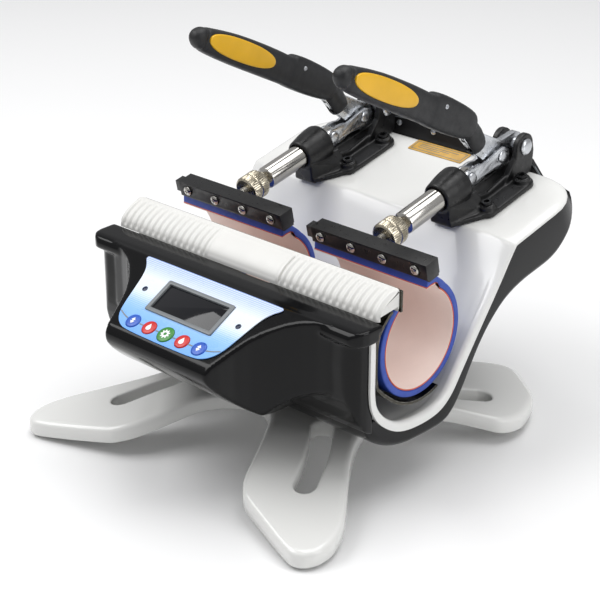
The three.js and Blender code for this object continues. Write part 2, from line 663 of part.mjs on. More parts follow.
// welds near-equal corners and drops the faces that this closes up
function welded(geometry) {
  const bare = geometry.clone();
  bare.deleteAttribute('normal');
  bare.deleteAttribute('uv');
  const merged = mergeVertices(bare, WELD);
  const from = merged.index.array;
  const kept = [];
  for (let i = 0; i < from.length; i += 3) {
    const [a, b, c] = [from[i], from[i + 1], from[i + 2]];
    if (a !== b && b !== c && c !== a) {
      kept.push(a, b, c);
    }
  }
  merged.setIndex(kept);
  return merged;
}

function add(name, geometry, material) {
  const clean = welded(geometry);
  clean.computeVertexNormals();
  const mesh = new THREE.Mesh(clean, material);
  mesh.name = name;
  root.add(mesh);
}

add('base_stand', baseStand(), whitePlastic);
const padNames = ['front_right', 'rear_right'];
FEET.forEach(([x, y], i) => {
  add(`foot_pad_${padNames[i]}`, rodZ(x, y, 8.4, GROUND_Z, STAND_LOW - 0.1, 20), rubber);
  const twin = padNames[i].replace('right', 'left');
  add(`foot_pad_${twin}`, rodZ(-x, y, 8.4, GROUND_Z, STAND_LOW - 0.1, 20), rubber);
});
add('lower_shell', lowerShell(), blackGloss);
add('tray_deck', trayDeck(), whitePlastic);
add('front_housing', frontHousing(), blackGloss);
add('ribbed_cover', ribbedCover(), ribPlastic);
add('cover_strip', coverStrip(), darkSteel);
add('control_label', controlLabel(), labelBlue);
add('lcd_bezel', lcdBezel(), lcdGrey);
add('lcd_screen', lcdScreen(), screenBlack);
add('control_board', controlBoard(), boardGreen);
add('power_board', powerBoard(), boardGreen);
const buttonPaint = [buttonBlue, buttonRed, buttonGreen, buttonRed, buttonBlue];
for (let i = 0; i < 5; i += 1) {
  add(`button_${i + 1}`, button(2 - i), buttonPaint[i]);
}
add('rear_cover', rearCover(), blackPlastic);
const cautionPlate = block(-32, 28, 80, 97, DECK_TOP + 0.05, DECK_TOP + 0.7);
add('caution_plate', cautionPlate.applyMatrix4(clampPlace(0)), amber);
add('power_inlet', powerInlet(), blackPlastic);
add('power_switch', powerSwitch(), blackPlastic);

for (const [side, x] of [['left', -BAY_X], ['right', BAY_X]]) {
  const place = clampPlace(x);
  const put = (name, geometry, material) => add(`${name}_${side}`, geometry.applyMatrix4(place), material);
  add(`cradle_${side}`, cradle(x), darkSteel);
  add(`heater_wrap_${side}`, heaterWrap(x), silicone);
  add(`wrap_liner_${side}`, wrapLiner(x), liner);
  put('clamp_base', clampBase(), blackCast);
  put('plunger', plunger(), chrome);
  put('adjust_nut', adjustNut(), nickel);
  put('pressure_bar', pressureBar(), blackCast);
  BAR_SCREWS.forEach((offset, i) => put(`bar_screw_${i + 1}`, barScrew(offset), chrome));
  put('toggle_link', toggleLink(), galvanised);
  put('pivot_pin', boltAcross(P0_S, 5, 7.5, 14.2, 3), galvanised);
  put('lever_pin', boltAcross(P1_S, 4, 6.4, 6.6, 1.5), galvanised);
  put('plunger_pin', boltAcross(P2_S, 4, 6.4, 6.6, 3), galvanised);
  put('lever', lever(), galvanised);
  put('grip', grip(), gripPlastic);
  put('grip_inset', gripInset(), yellowPlastic);
}

root.position.set(0, -CENTRE_Y, -GROUND_Z);

export default root;
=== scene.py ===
"""Looks of the mug heat press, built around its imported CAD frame.

Shapes are laid out in millimetres around the mug axis (y = 0, z = 0), with +Y to the back,
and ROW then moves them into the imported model's frame, which is in metres.
"""
import math

import bmesh
import bpy
from mathutils import Matrix, Vector, geometry, kdtree


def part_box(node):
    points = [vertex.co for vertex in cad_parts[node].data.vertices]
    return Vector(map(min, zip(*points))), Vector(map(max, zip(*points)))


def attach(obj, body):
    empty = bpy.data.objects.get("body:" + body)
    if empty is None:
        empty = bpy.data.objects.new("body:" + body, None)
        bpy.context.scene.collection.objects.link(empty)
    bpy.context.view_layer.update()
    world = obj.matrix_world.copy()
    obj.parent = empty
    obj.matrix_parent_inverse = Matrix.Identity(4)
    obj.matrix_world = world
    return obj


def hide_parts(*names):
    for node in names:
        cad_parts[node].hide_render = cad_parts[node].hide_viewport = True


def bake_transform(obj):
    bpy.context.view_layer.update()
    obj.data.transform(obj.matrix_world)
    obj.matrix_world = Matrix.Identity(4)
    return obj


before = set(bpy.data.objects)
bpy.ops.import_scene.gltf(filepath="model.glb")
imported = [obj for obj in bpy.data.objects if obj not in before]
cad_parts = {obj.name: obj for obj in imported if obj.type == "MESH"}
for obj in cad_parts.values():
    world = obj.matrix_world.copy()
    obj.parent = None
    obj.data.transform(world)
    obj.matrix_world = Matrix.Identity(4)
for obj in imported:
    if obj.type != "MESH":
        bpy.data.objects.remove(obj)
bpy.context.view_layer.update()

MM = 0.001
PAD_LO, PAD_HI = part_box("foot_pad_front_right")
PAD_Y = -128.0                  # middle of the front pads, from the mug axis
LIFT = 132.0                    # mug axis above the floor
SHIFT = (PAD_LO.y + PAD_HI.y) / 2 / MM - PAD_Y
ROW = Matrix.Scale(MM, 4) @ Matrix.Translation((0, SHIFT, LIFT))
BAY_X = 77.5
DECK = math.radians(12)
KINK = (113.0, 49.0)
FACE = math.radians(27)
FACE_TOP = (-88.0, 36.5)
GRIP = math.radians(141.8)
GRIP_START = (40.0, 76.0)
AXIS_N = 29.0
P0_S, P1_S, P2_S = 94.0, 71.0, 27.6
HERE = Matrix.Identity(4)


# ------------------------------------------------------------------ camera, floor, light

def add_camera():
    azimuth, elevation, reach = math.radians(42.5515), math.radians(24.6297), 1.498
    back = Vector((math.sin(azimuth) * math.cos(elevation),
                   -math.cos(azimuth) * math.cos(elevation), math.sin(elevation)))
    data = bpy.data.cameras.new("camera")
    data.sensor_width = 36
    data.lens = 104.35
    camera = bpy.data.objects.new("camera", data)
    camera.location = Vector((-0.0149, -0.0003, 0.1084)) + back * reach
    camera.rotation_euler = back.to_track_quat("Z", "Y").to_euler()
    bpy.context.scene.collection.objects.link(camera)
    bpy.context.scene.camera = camera


def add_light(name, location, target, width, height, power, tint=(1, 1, 1)):
    data = bpy.data.lights.new(name, "AREA")
    data.shape = "RECTANGLE"
    data.size = width
    data.size_y = height
    data.energy = power
    data.color = tint
    lamp = bpy.data.objects.new(name, data)
    lamp.location = location
    lamp.rotation_euler = (Vector(location) - Vector(target)).to_track_quat("Z", "Y").to_euler()
    bpy.context.scene.collection.objects.link(lamp)


def add_studio():
    add_light("key", (-1.1, -0.9, 1.9), (0, 0, 0.1), 1.5, 1.2, 26)
    add_light("top", (0.2, 0.5, 2.3), (0, 0, 0), 2.4, 1.6, 34)
    add_light("side", (1.9, 0.3, 0.9), (0, 0, 0.15), 0.7, 1.3, 9)
    world = bpy.data.worlds.new("studio")
    world.use_nodes = True
    world.node_tree.nodes["Background"].inputs["Color"].default_value = (0.96, 0.965, 0.98, 1)
    world.node_tree.nodes["Background"].inputs["Strength"].default_value = 0.42
    bpy.context.scene.world = world
    bpy.context.scene.view_settings.view_transform = "Standard"


# ------------------------------------------------------------------ materials

def wire(tree, a, out, b, into):
    tree.links.new(a.outputs[out], b.inputs[into])


def node(tree, kind, **values):
    made = tree.nodes.new(kind)
    for key, value in values.items():
        if hasattr(made, key):
            setattr(made, key, value)
        else:
            made.inputs[key.replace("_", " ")].default_value = value
    return made


def noise(tree, coords, scale, detail=3.0, stretch=None):
    source = node(tree, "ShaderNodeTexNoise", Scale=scale, Detail=detail)
    if stretch:
        mapping = node(tree, "ShaderNodeMapping")
        mapping.inputs["Scale"].default_value = stretch
        wire(tree, coords, "Object", mapping, "Vector")
        wire(tree, mapping, "Vector", source, "Vector")
    else:
        wire(tree, coords, "Object", source, "Vector")
    return source


def spread(tree, source, out, lo, hi, start=0.3, stop=0.7):
    made = node(tree, "ShaderNodeMapRange")
    for name, value in (("From Min", start), ("From Max", stop), ("To Min", lo), ("To Max", hi)):
        made.inputs[name].default_value = value
    wire(tree, source, out, made, "Value")
    return made


def mix(tree, first, second, factor=None, out="Result"):
    made = node(tree, "ShaderNodeMix", data_type="RGBA")
    made.inputs[6].default_value = (*first, 1) if isinstance(first, tuple) else (0, 0, 0, 1)
    made.inputs[7].default_value = (*second, 1) if isinstance(second, tuple) else (0, 0, 0, 1)
    for slot, value in ((6, first), (7, second)):
        if not isinstance(value, tuple):
            tree.links.new(value.outputs[2] if value.bl_idname == "ShaderNodeMix" else value.outputs[0],
                           made.inputs[slot])
    if factor is not None:
        wire(tree, factor, out, made, "Factor")
    return made


FINISHES = {}


def finish(name, colour, rough, metal=0.0, shade=0.88, vary=0.05, mottle=35.0, grain=900.0, bump=0.05,
           coat=0.0, specular=0.5, stretch=None, worn=None, worn_width=0.0006, depth=0.0003):
    """A procedural finish: slow colour drift, uneven polish, fine surface grain and worn edges."""
    material = bpy.data.materials.new(name)
    material.use_nodes = True
    tree = material.node_tree
    shader = tree.nodes["Principled BSDF"]
    shader.inputs["Metallic"].default_value = metal
    shader.inputs["Coat Weight"].default_value = coat
    shader.inputs["Coat Roughness"].default_value = 0.05
    shader.inputs["Specular IOR Level"].default_value = specular
    coords = node(tree, "ShaderNodeTexCoord")
    slow = noise(tree, coords, mottle, 4.0, stretch)
    drift = spread(tree, slow, "Fac", 0.0, 1.0)
    dark = tuple(c * shade for c in colour)
    base = mix(tree, colour, dark, drift)
    polish = noise(tree, coords, mottle * 4, 3.0, stretch)
    rough_map = spread(tree, polish, "Fac", max(rough - vary, 0.02), rough + vary)
    fine = noise(tree, coords, grain, 2.0, stretch)
    bumps = node(tree, "ShaderNodeBump", Strength=bump, Distance=depth)
    wire(tree, fine, "Fac", bumps, "Height")
    wire(tree, bumps, "Normal", shader, "Normal")
    if worn:
        rounded = node(tree, "ShaderNodeBevel", samples=4)
        rounded.inputs["Radius"].default_value = worn_width
        normal = node(tree, "ShaderNodeNewGeometry")
        dot = node(tree, "ShaderNodeVectorMath", operation="DOT_PRODUCT")
        wire(tree, rounded, "Normal", dot, 0)
        wire(tree, normal, "Normal", dot, 1)
        edge = spread(tree, dot, "Value", 1.0, 0.0, 0.82, 0.985)
        patch = spread(tree, noise(tree, coords, 260.0, 4.0), "Fac", 0.0, 0.75, 0.42, 0.62)
        both = node(tree, "ShaderNodeMath", operation="MULTIPLY")
        wire(tree, edge, "Result", both, 0)
        wire(tree, patch, "Result", both, 1)
        base = mix(tree, base, worn, both, "Value")
    tree.links.new(base.outputs[2], shader.inputs["Base Color"])
    wire(tree, rough_map, "Result", shader, "Roughness")
    FINISHES[name] = material
    return material


def make_finishes():
    finish("white_gloss", (0.80, 0.80, 0.78), 0.2, shade=0.965, vary=0.04, mottle=9, grain=420, bump=0.02,
           coat=0.25)
    finish("rib_white", (0.77, 0.765, 0.74), 0.42, shade=0.95, vary=0.06, mottle=22, grain=1500, bump=0.08)
    finish("black_gloss", (0.0045, 0.0045, 0.005), 0.11, shade=0.7, vary=0.03, mottle=14, grain=300,
           bump=0.012, coat=0.1, specular=0.16)
    finish("black_plastic", (0.012, 0.012, 0.013), 0.42, shade=0.75, mottle=30, grain=2200, bump=0.18,
           specular=0.4)
    finish("black_cast", (0.010, 0.010, 0.0105), 0.36, shade=0.6, vary=0.1, mottle=60, grain=1500, bump=0.22,
           specular=0.42, worn=(0.055, 0.055, 0.055))
    finish("grip_black", (0.014, 0.0145, 0.016), 0.47, shade=0.75, vary=0.07, mottle=45, grain=2600,
           bump=0.28, specular=0.42)
    finish("grip_yellow", (0.86, 0.48, 0.012), 0.34, shade=0.86, vary=0.06, mottle=30, grain=1400, bump=0.06)
    finish("galvanised", (0.66, 0.68, 0.71), 0.3, metal=1.0, shade=0.84, vary=0.07, mottle=70, grain=1300,
           bump=0.03)
    finish("chrome", (0.68, 0.66, 0.62), 0.16, metal=1.0, shade=0.62, vary=0.05, mottle=90, grain=700,
           bump=0.05, stretch=(1.0, 0.06, 0.3))
    finish("nickel", (0.62, 0.56, 0.44), 0.24, metal=1.0, shade=0.66, vary=0.1, mottle=140, grain=1600,
           bump=0.1, worn=(0.85, 0.82, 0.74))
    finish("dark_steel", (0.085, 0.08, 0.066), 0.22, metal=1.0, shade=0.55, vary=0.08, mottle=70, grain=1000,
           bump=0.07, stretch=(0.12, 1.0, 1.0), worn=(0.3, 0.29, 0.27))
    finish("silicone_blue", (0.028, 0.075, 0.42), 0.5, shade=0.8, vary=0.06, mottle=60, grain=1700, bump=0.16)
    finish("liner_pale", (0.90, 0.74, 0.68), 0.55, shade=0.9, vary=0.06, mottle=24, grain=900, bump=0.1)
    finish("liner_red", (0.72, 0.13, 0.045), 0.5, shade=0.8, mottle=120, grain=1500, bump=0.1)
    finish("lcd_grey", (0.19, 0.205, 0.215), 0.38, shade=0.85, mottle=40, grain=1800, bump=0.06)
    finish("lcd_black", (0.006, 0.0065, 0.009), 0.06, shade=0.8, vary=0.02, mottle=20, grain=200, bump=0.004,
           specular=0.4)
    finish("button_blue", (0.022, 0.11, 0.55), 0.3, shade=0.85, mottle=200, grain=1500, bump=0.03)
    finish("button_red", (0.62, 0.015, 0.014), 0.3, shade=0.85, mottle=200, grain=1500, bump=0.03)
    finish("button_green", (0.035, 0.25, 0.03), 0.3, shade=0.85, mottle=200, grain=1500, bump=0.03)
    finish("icon_white", (0.86, 0.88, 0.9), 0.4, shade=0.95, mottle=200, grain=1500, bump=0.02)
    finish("line_grey", (0.2, 0.23, 0.24), 0.4, shade=0.9, mottle=200, grain=1500, bump=0.02)
    finish("led_navy", (0.008, 0.018, 0.06), 0.15, shade=0.8, mottle=200, grain=1500, bump=0.02)
    finish("amber", (0.68, 0.40, 0.085), 0.36, shade=0.72, vary=0.1, mottle=150, grain=900, bump=0.05)
    finish("board_green", (0.012, 0.11, 0.035), 0.45, shade=0.8, mottle=150, grain=1300, bump=0.08)
    finish("rubber_black", (0.01, 0.01, 0.01), 0.75, shade=0.8, mottle=120, grain=1500, bump=0.3)
    finish("bolt_black", (0.016, 0.016, 0.017), 0.26, metal=0.6, shade=0.7, mottle=120, grain=1300, bump=0.08,
           worn=(0.12, 0.12, 0.12))


def label_finish():
    """Printed film: fine blue rules fading to white, then sky blue at its lower edge."""
    material = bpy.data.materials.new("label_blue")
    material.use_nodes = True
    tree = material.node_tree
    shader = tree.nodes["Principled BSDF"]
    shader.inputs["Coat Weight"].default_value = 0.2
    coords = node(tree, "ShaderNodeTexCoord")
    down = node(tree, "ShaderNodeVectorMath", operation="DOT_PRODUCT")
    wire(tree, coords, "Object", down, 0)
    down.inputs[1].default_value = (0, -math.cos(FACE), -math.sin(FACE))
    start = ROW @ Vector((0, *FACE_TOP))
    zero = -math.cos(FACE) * start.y - math.sin(FACE) * start.z
    along = spread(tree, down, "Value", 0.0, 1.0, zero, zero + 72 * MM)
    ramp = node(tree, "ShaderNodeValToRGB")
    wire(tree, along, "Result", ramp, "Fac")
    stops = ((0.0, (0.30, 0.44, 0.88)), (0.10, (0.45, 0.58, 0.92)), (0.27, (0.80, 0.86, 0.95)),
             (0.45, (0.74, 0.84, 0.96)), (0.62, (0.26, 0.52, 0.93)), (1.0, (0.13, 0.38, 0.88)))
    ramp.color_ramp.elements[0].position = stops[0][0]
    ramp.color_ramp.elements[0].color = (*stops[0][1], 1)
    ramp.color_ramp.elements[1].position = stops[-1][0]
    ramp.color_ramp.elements[1].color = (*stops[-1][1], 1)
    for place, colour in stops[1:-1]:
        ramp.color_ramp.elements.new(place).color = (*colour, 1)
    count = node(tree, "ShaderNodeMath", operation="MULTIPLY")
    wire(tree, along, "Result", count, 0)
    count.inputs[1].default_value = 42 * 2 * math.pi
    wave = node(tree, "ShaderNodeMath", operation="SINE")
    wire(tree, count, "Value", wave, 0)
    rules = spread(tree, wave, "Value", 0.0, 1.0, 0.1, 0.5)
    fade = node(tree, "ShaderNodeValToRGB")
    wire(tree, along, "Result", fade, "Fac")
    fade.color_ramp.elements[0].color = (0.75, 0.75, 0.75, 1)
    fade.color_ramp.elements[1].color = (0, 0, 0, 1)
    fade.color_ramp.elements[1].position = 0.72
    fade.color_ramp.elements.new(0.33).color = (0.02, 0.02, 0.02, 1)
    fade.color_ramp.elements.new(0.5).color = (0.55, 0.55, 0.55, 1)
    lined = node(tree, "ShaderNodeMath", operation="MULTIPLY")
    wire(tree, rules, "Result", lined, 0)
    wire(tree, fade, "Color", lined, 1)
    paper = mix(tree, ramp, (0.88, 0.92, 0.97), lined, "Value")
    drift = spread(tree, noise(tree, coords, 60.0), "Fac", 0.0, 0.06)
    printed = mix(tree, paper, (0.6, 0.7, 0.8), drift)
    tree.links.new(printed.outputs[2], shader.inputs["Base Color"])
    gloss = spread(tree, noise(tree, coords, 120.0), "Fac", 0.24, 0.34)
    wire(tree, gloss, "Result", shader, "Roughness")
    FINISHES["label_blue"] = material


# ------------------------------------------------------------------ outlines

def arc(cx, cy, r, start, stop, steps):
    turn = (stop - start) / steps
    angles = [math.radians(start + i * turn) for i in range(steps + 1)]
    return [(cx + r * math.cos(t), cy + r * math.sin(t)) for t in angles]


def rounded_rect(x0, x1, y0, y1, r, steps=6):
    return (arc(x1 - r, y0 + r, r, -90, 0, steps) + arc(x1 - r, y1 - r, r, 0, 90, steps)
            + arc(x0 + r, y1 - r, r, 90, 180, steps) + arc(x0 + r, y0 + r, r, 180, 270, steps))


def capsule(p, q, rp, rq, steps=10):
    way = math.degrees(math.atan2(q[1] - p[1], q[0] - p[0]))
    lean = math.degrees(math.asin((rp - rq) / math.dist(p, q)))
    return (arc(q[0], q[1], rq, way - 90 + lean, way + 90 - lean, steps)
            + arc(p[0], p[1], rp, way + 90 - lean, way + 270 + lean, steps))


def chaikin(points, rounds=2, closed=True):
    for _ in range(rounds):
        made = []
        count = len(points)
        for i in range(count if closed else count - 1):
            a, b = points[i], points[(i + 1) % count]
            made.append(tuple(0.75 * u + 0.25 * v for u, v in zip(a, b)))
            made.append(tuple(0.25 * u + 0.75 * v for u, v in zip(a, b)))
        points = made if closed else [points[0]] + made + [points[-1]]
    return points


def curve(points, rounds=2):
    """An open outline with its corners cut round, from its first point to its last."""
    return chaikin(points, rounds, closed=False)


def mirrored(half):
    """Half an outline, closed by its reflection across x = 0."""
    return half + [(-x, y) for x, y in reversed(half)]


def two_headed(half):
    """Turned profile of a pin from one end to its middle, repeated backwards to the other end."""
    return half + [(r, -h) for r, h in reversed(half)]


def leftward(ring):
    """The same closed ring, always run anticlockwise."""
    area = sum(a[0] * b[1] - b[0] * a[1] for a, b in zip(ring, ring[1:] + ring[:1]))
    return ring if area > 0 else ring[::-1]


def inset(points, d, closed=True):
    """Moves an outline to its left by d, which is inwards for an anticlockwise one."""
    made = []
    count = len(points)
    for i, p in enumerate(points):
        a = points[(i - 1) % count] if closed or i else p
        b = points[(i + 1) % count] if closed or i < count - 1 else p
        dx, dy = b[0] - a[0], b[1] - a[1]
        size = math.hypot(dx, dy) or 1.0
        made.append((p[0] - d * dy / size, p[1] + d * dx / size))
    return made


def inside(point, loop):
    x, y = point
    hit = False
    for (ax, ay), (bx, by) in zip(loop, loop[1:] + loop[:1]):
        if (ay > y) != (by > y) and x < ax + (y - ay) * (bx - ax) / (by - ay):
            hit = not hit
    return hit


def between(value, stops):
    """Straight-line reading of a table of (position, value) pairs."""
    if value <= stops[0][0]:
        return stops[0][1]
    for (a, fa), (b, fb) in zip(stops, stops[1:]):
        if value <= b:
            return fa + (fb - fa) * (value - a) / (b - a)
    return stops[-1][1]


# ------------------------------------------------------------------ solid forms: (corners, faces)

def moved(form, place):
    corners, faces = form
    return [tuple(place @ Vector(c)) for c in corners], faces


def prism(points, lo, hi):
    n = len(points)
    corners = [(x, y, lo) for x, y in points] + [(x, y, hi) for x, y in points]
    faces = [tuple(range(n - 1, -1, -1)), tuple(range(n, 2 * n))]
    faces += [(i, (i + 1) % n, n + (i + 1) % n, n + i) for i in range(n)]
    return corners, faces


ALONG_X = Matrix(((0, 0, 1, 0), (1, 0, 0, 0), (0, 1, 0, 0), (0, 0, 0, 1)))
ALONG_Y = Matrix.Rotation(math.radians(-90), 4, "X")


def prism_x(points, x0, x1):
    return moved(prism(points, x0, x1), ALONG_X)


def block(x0, x1, y0, y1, z0, z1):
    return prism([(x0, y0), (x1, y0), (x1, y1), (x0, y1)], z0, z1)


def loft(rings, caps=True, loop=False):
    """Skin over rings of equal length, closed by end caps or back on to its first ring."""
    n = len(rings[0])
    corners = [c for ring in rings for c in ring]
    faces = []
    for k in range(len(rings) if loop else len(rings) - 1):
        a, b = k * n, ((k + 1) % len(rings)) * n
        faces += [(a + i, a + (i + 1) % n, b + (i + 1) % n, b + i) for i in range(n)]
    if caps and not loop:
        faces += [tuple(range(n - 1, -1, -1)), tuple(range(len(corners) - n, len(corners)))]
    return corners, faces


def turned(profile, sides=32):
    """Profile of (radius, height) pairs turned about the local z axis."""
    rings = [[(r * math.cos(2 * math.pi * i / sides), r * math.sin(2 * math.pi * i / sides), h)
              for i in range(sides)] for r, h in profile]
    return loft(rings)


def rod_x(y, z, profile, sides=28):
    turn = Matrix.Rotation(math.radians(90), 4, "Y")
    return moved(turned(profile, sides), Matrix.Translation((0, y, z)) @ turn)


def rod_y(x, z, profile, sides=32):
    return moved(turned(profile, sides), Matrix.Translation((x, 0, z)) @ ALONG_Y)


def rounded_x(points, x0, x1, r, steps=4):
    """Outline pushed along x, with its edges at both ends rounded."""
    pulled = inset(points, 1.0)

    def at(d):
        return [(p[0] + (q[0] - p[0]) * d, p[1] + (q[1] - p[1]) * d) for p, q in zip(points, pulled)]

    bends = [math.pi / 2 * i / steps for i in range(steps + 1)]
    front = [(x0 + r * (1 - math.cos(t)), r * (1 - math.sin(t))) for t in bends]
    rear = [(x1 - (x - x0), d) for x, d in reversed(front)]
    return loft([[(x, *p) for p in at(d)] for x, d in front + rear])


def tube(path, radii, sides=20, up=(1, 0, 0)):
    """Round or oval tube along a path of points; radii gives (across, up) at each."""
    rings = []
    for i, p in enumerate(path):
        a, b = Vector(path[max(i - 1, 0)]), Vector(path[min(i + 1, len(path) - 1)])
        way = (b - a).normalized()
        across = Vector(up)
        high = way.cross(across).normalized()
        rx, rz = radii[i]
        rings.append([tuple(Vector(p) + across * rx * math.cos(2 * math.pi * k / sides)
                            + high * rz * math.sin(2 * math.pi * k / sides)) for k in range(sides)])
    return loft(rings)


def sheet_fill(loops, step, height):
    """Triangles that fill the first loop, leave out the others, and follow height(x, y)."""
    points, edges = [], []
    tree = kdtree.KDTree(sum(len(loop) for loop in loops))
    for loop in loops:
        base = len(points)
        for p in loop:
            tree.insert((*p, 0), len(points))
            points.append(Vector(p))
        edges += [(base + i, base + (i + 1) % len(loop)) for i in range(len(loop))]
    tree.balance()
    xs, ys = [p[0] for p in loops[0]], [p[1] for p in loops[0]]
    for i in range(int((max(xs) - min(xs)) / step) + 1):
        for j in range(int((max(ys) - min(ys)) / step) + 1):
            p = (min(xs) + (i + 0.5) * step, min(ys) + (j + 0.5) * step)
            if (tree.find((*p, 0))[2] > 0.7 * step and inside(p, loops[0])
                    and not any(inside(p, hole) for hole in loops[1:])):
                points.append(Vector(p))
    flat, _, faces, _, _, _ = geometry.delaunay_2d_cdt(points, edges, [], 0, 1e-6, True)
    kept = []
    for face in faces:
        middle = (sum(flat[i].x for i in face) / len(face), sum(flat[i].y for i in face) / len(face))
        if inside(middle, loops[0]) and not any(inside(middle, hole) for hole in loops[1:]):
            kept.append(tuple(face))
    return [(p.x, p.y, height(p.x, p.y)) for p in flat], kept


# ------------------------------------------------------------------ objects

def solid(name, *forms, place=HERE, weld=0.0):
    """One mesh object made of the given forms, set at place in the mug axis frame."""
    mesh = bpy.data.meshes.new(name)
    work = bmesh.new()
    whole = ROW @ place
    for corners, faces in forms:
        made = [work.verts.new(whole @ Vector(c)) for c in corners]
        for face in faces:
            try:
                work.faces.new([made[i] for i in face])
            except ValueError:
                continue
    if weld:
        bmesh.ops.remove_doubles(work, verts=work.verts, dist=weld * MM)
    bmesh.ops.recalc_face_normals(work, faces=work.faces)
    work.to_mesh(mesh)
    work.free()
    made = bpy.data.objects.new(name, mesh)
    bpy.context.scene.collection.objects.link(made)
    return made


def outward(piece):
    """Turns every face's normal outwards."""
    work = bmesh.new()
    work.from_mesh(piece.data)
    bmesh.ops.recalc_face_normals(work, faces=work.faces)
    work.to_mesh(piece.data)
    work.free()
    return piece


def settle(piece):
    """Applies the piece's modifiers to its mesh."""
    bpy.context.view_layer.update()
    graph = bpy.context.evaluated_depsgraph_get()
    mesh = bpy.data.meshes.new_from_object(piece.evaluated_get(graph), depsgraph=graph)
    piece.modifiers.clear()
    piece.data = mesh
    return piece


def carve(piece, *tools, operation="DIFFERENCE"):
    for tool in tools:
        step = piece.modifiers.new("cut", "BOOLEAN")
        step.object = tool
        step.operation = operation
        step.solver = "MANIFOLD"
    settle(piece)
    for tool in tools:
        bpy.data.objects.remove(tool)
    return piece


def fused(name, *forms, place=HERE):
    """The given forms joined into one solid."""
    first, *rest = [solid(f"{name}_{i}" if i else name, form, place=place) for i, form in enumerate(forms)]
    return carve(first, *rest, operation="UNION") if rest else first


def cast(piece, voxel, rounds):
    """Turns a blocky form into one evenly meshed casting with soft fillets."""
    step = piece.modifiers.new("cast", "REMESH")
    step.mode = "VOXEL"
    step.voxel_size = voxel * MM
    ease = piece.modifiers.new("ease", "SMOOTH")
    ease.factor = 0.5
    ease.iterations = rounds
    return outward(settle(piece))


def chamfer(piece, width, steps=2, angle=32):
    step = piece.modifiers.new("edges", "BEVEL")
    step.width = width * MM
    step.segments = steps
    step.limit_method = "ANGLE"
    step.angle_limit = math.radians(angle)
    return settle(piece)


def from_cad(name, node_name, width=0.4, steps=2):
    """A finished copy of a CAD node: welded, its flats merged and its edges broken."""
    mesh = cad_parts[node_name].data.copy()
    mesh.materials.clear()
    work = bmesh.new()
    work.from_mesh(mesh)
    bmesh.ops.remove_doubles(work, verts=work.verts, dist=0.02 * MM)
    bmesh.ops.dissolve_limit(work, angle_limit=math.radians(3), verts=work.verts, edges=work.edges)
    work.to_mesh(mesh)
    work.free()
    piece = bpy.data.objects.new(name, mesh)
    bpy.context.scene.collection.objects.link(piece)
    return chamfer(piece, width, steps) if width else piece


def show(piece, look, body="frame", stands_for=(), sharp=38, blend=None):
    """Gives a piece its finish and its shading; a blended piece has its place baked into its mesh, any other
    is tied to the body that it moves with.
    """
    if look:
        piece.data.materials.clear()
        piece.data.materials.append(FINISHES[look])
    piece.data.shade_smooth()
    piece.data.set_sharp_from_angle(angle=math.radians(sharp))
    if blend:
        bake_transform(piece)
    else:
        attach(piece, body)
    if stands_for:
        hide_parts(*stands_for)
    return piece


def twin(piece, name, look, body, stands_for, sharp=38, blend=None):
    """The right-hand copy of a left-hand piece."""
    mesh = piece.data.copy()
    mesh.transform(Matrix.Translation((2 * BAY_X * MM, 0, 0)))
    copy = bpy.data.objects.new(name, mesh)
    bpy.context.scene.collection.objects.link(copy)
    return show(copy, look, body, stands_for, sharp, blend)


def both(stem, piece, look, body="frame", nodes=(), slot=None, sharp=38, blend=None):
    """Shows a left-hand piece and its right-hand twin; body and nodes are named without their side."""
    def names(side):
        return [f"{n}_{side}" for n in nodes]

    def home(side):
        return body if body == "frame" else f"{body}_{side}"

    far = bpy.data.objects.new(f"{stem}_source", piece.data.copy())
    bend = {side: (f"{blend[0]}_{side}", *[ROW @ Vector((x, *p)) for p in blend[1:]]) if blend else None
            for side, x in (("left", -BAY_X), ("right", BAY_X))}
    show(piece, look, home("left"), names("left"), sharp, bend["left"])
    twin(far, f"{stem}_right", look, home("right"), names("right"), sharp, bend["right"])
    bpy.data.objects.remove(far)


def on_deck(x):
    return Matrix.Translation((x, *KINK)) @ Matrix.Rotation(DECK, 4, "X")


CLAMP = on_deck(-BAY_X)


def basis(x, y, z, origin):
    made = Matrix((x, y, z)).transposed().to_4x4()
    made.translation = origin
    return made


PANEL = basis((-1, 0, 0), (0, -math.cos(FACE), -math.sin(FACE)), (0, -math.sin(FACE), math.cos(FACE)),
              (0, *FACE_TOP))
GRIP_FRAME = CLAMP @ basis((-1, 0, 0), (0, math.cos(GRIP), math.sin(GRIP)),
                           (0, math.sin(GRIP), -math.cos(GRIP)), (0, *GRIP_START))


def clamp_part(name, *forms):
    return solid(name, *forms, place=CLAMP)


def panel_part(name, *forms):
    return solid(name, *forms, place=PANEL)


def grip_part(name, *forms):
    return solid(name, *forms, place=GRIP_FRAME)


# ------------------------------------------------------------------ stand

STAND_TOP, STAND_LOW = -87.4, -129.4
STAND_CENTRE_Y, STAND_REACH = 14.0, 236.0
STAND_FALL = curve([(0, STAND_TOP), (0.38, STAND_TOP), (0.44, STAND_TOP - 3), (0.6, STAND_LOW + 29.5),
                    (0.86, STAND_LOW + 17), (1.1, STAND_LOW + 12)], 3)


def stand_height(x, y):
    return between(math.hypot(x, y - STAND_CENTRE_Y) / STAND_REACH, STAND_FALL)


def stand_edge(x, y):
    """Lower edge of the stand's wall, which lifts off the floor between the feet."""
    return max(STAND_LOW, stand_height(x, y) - 14.0)


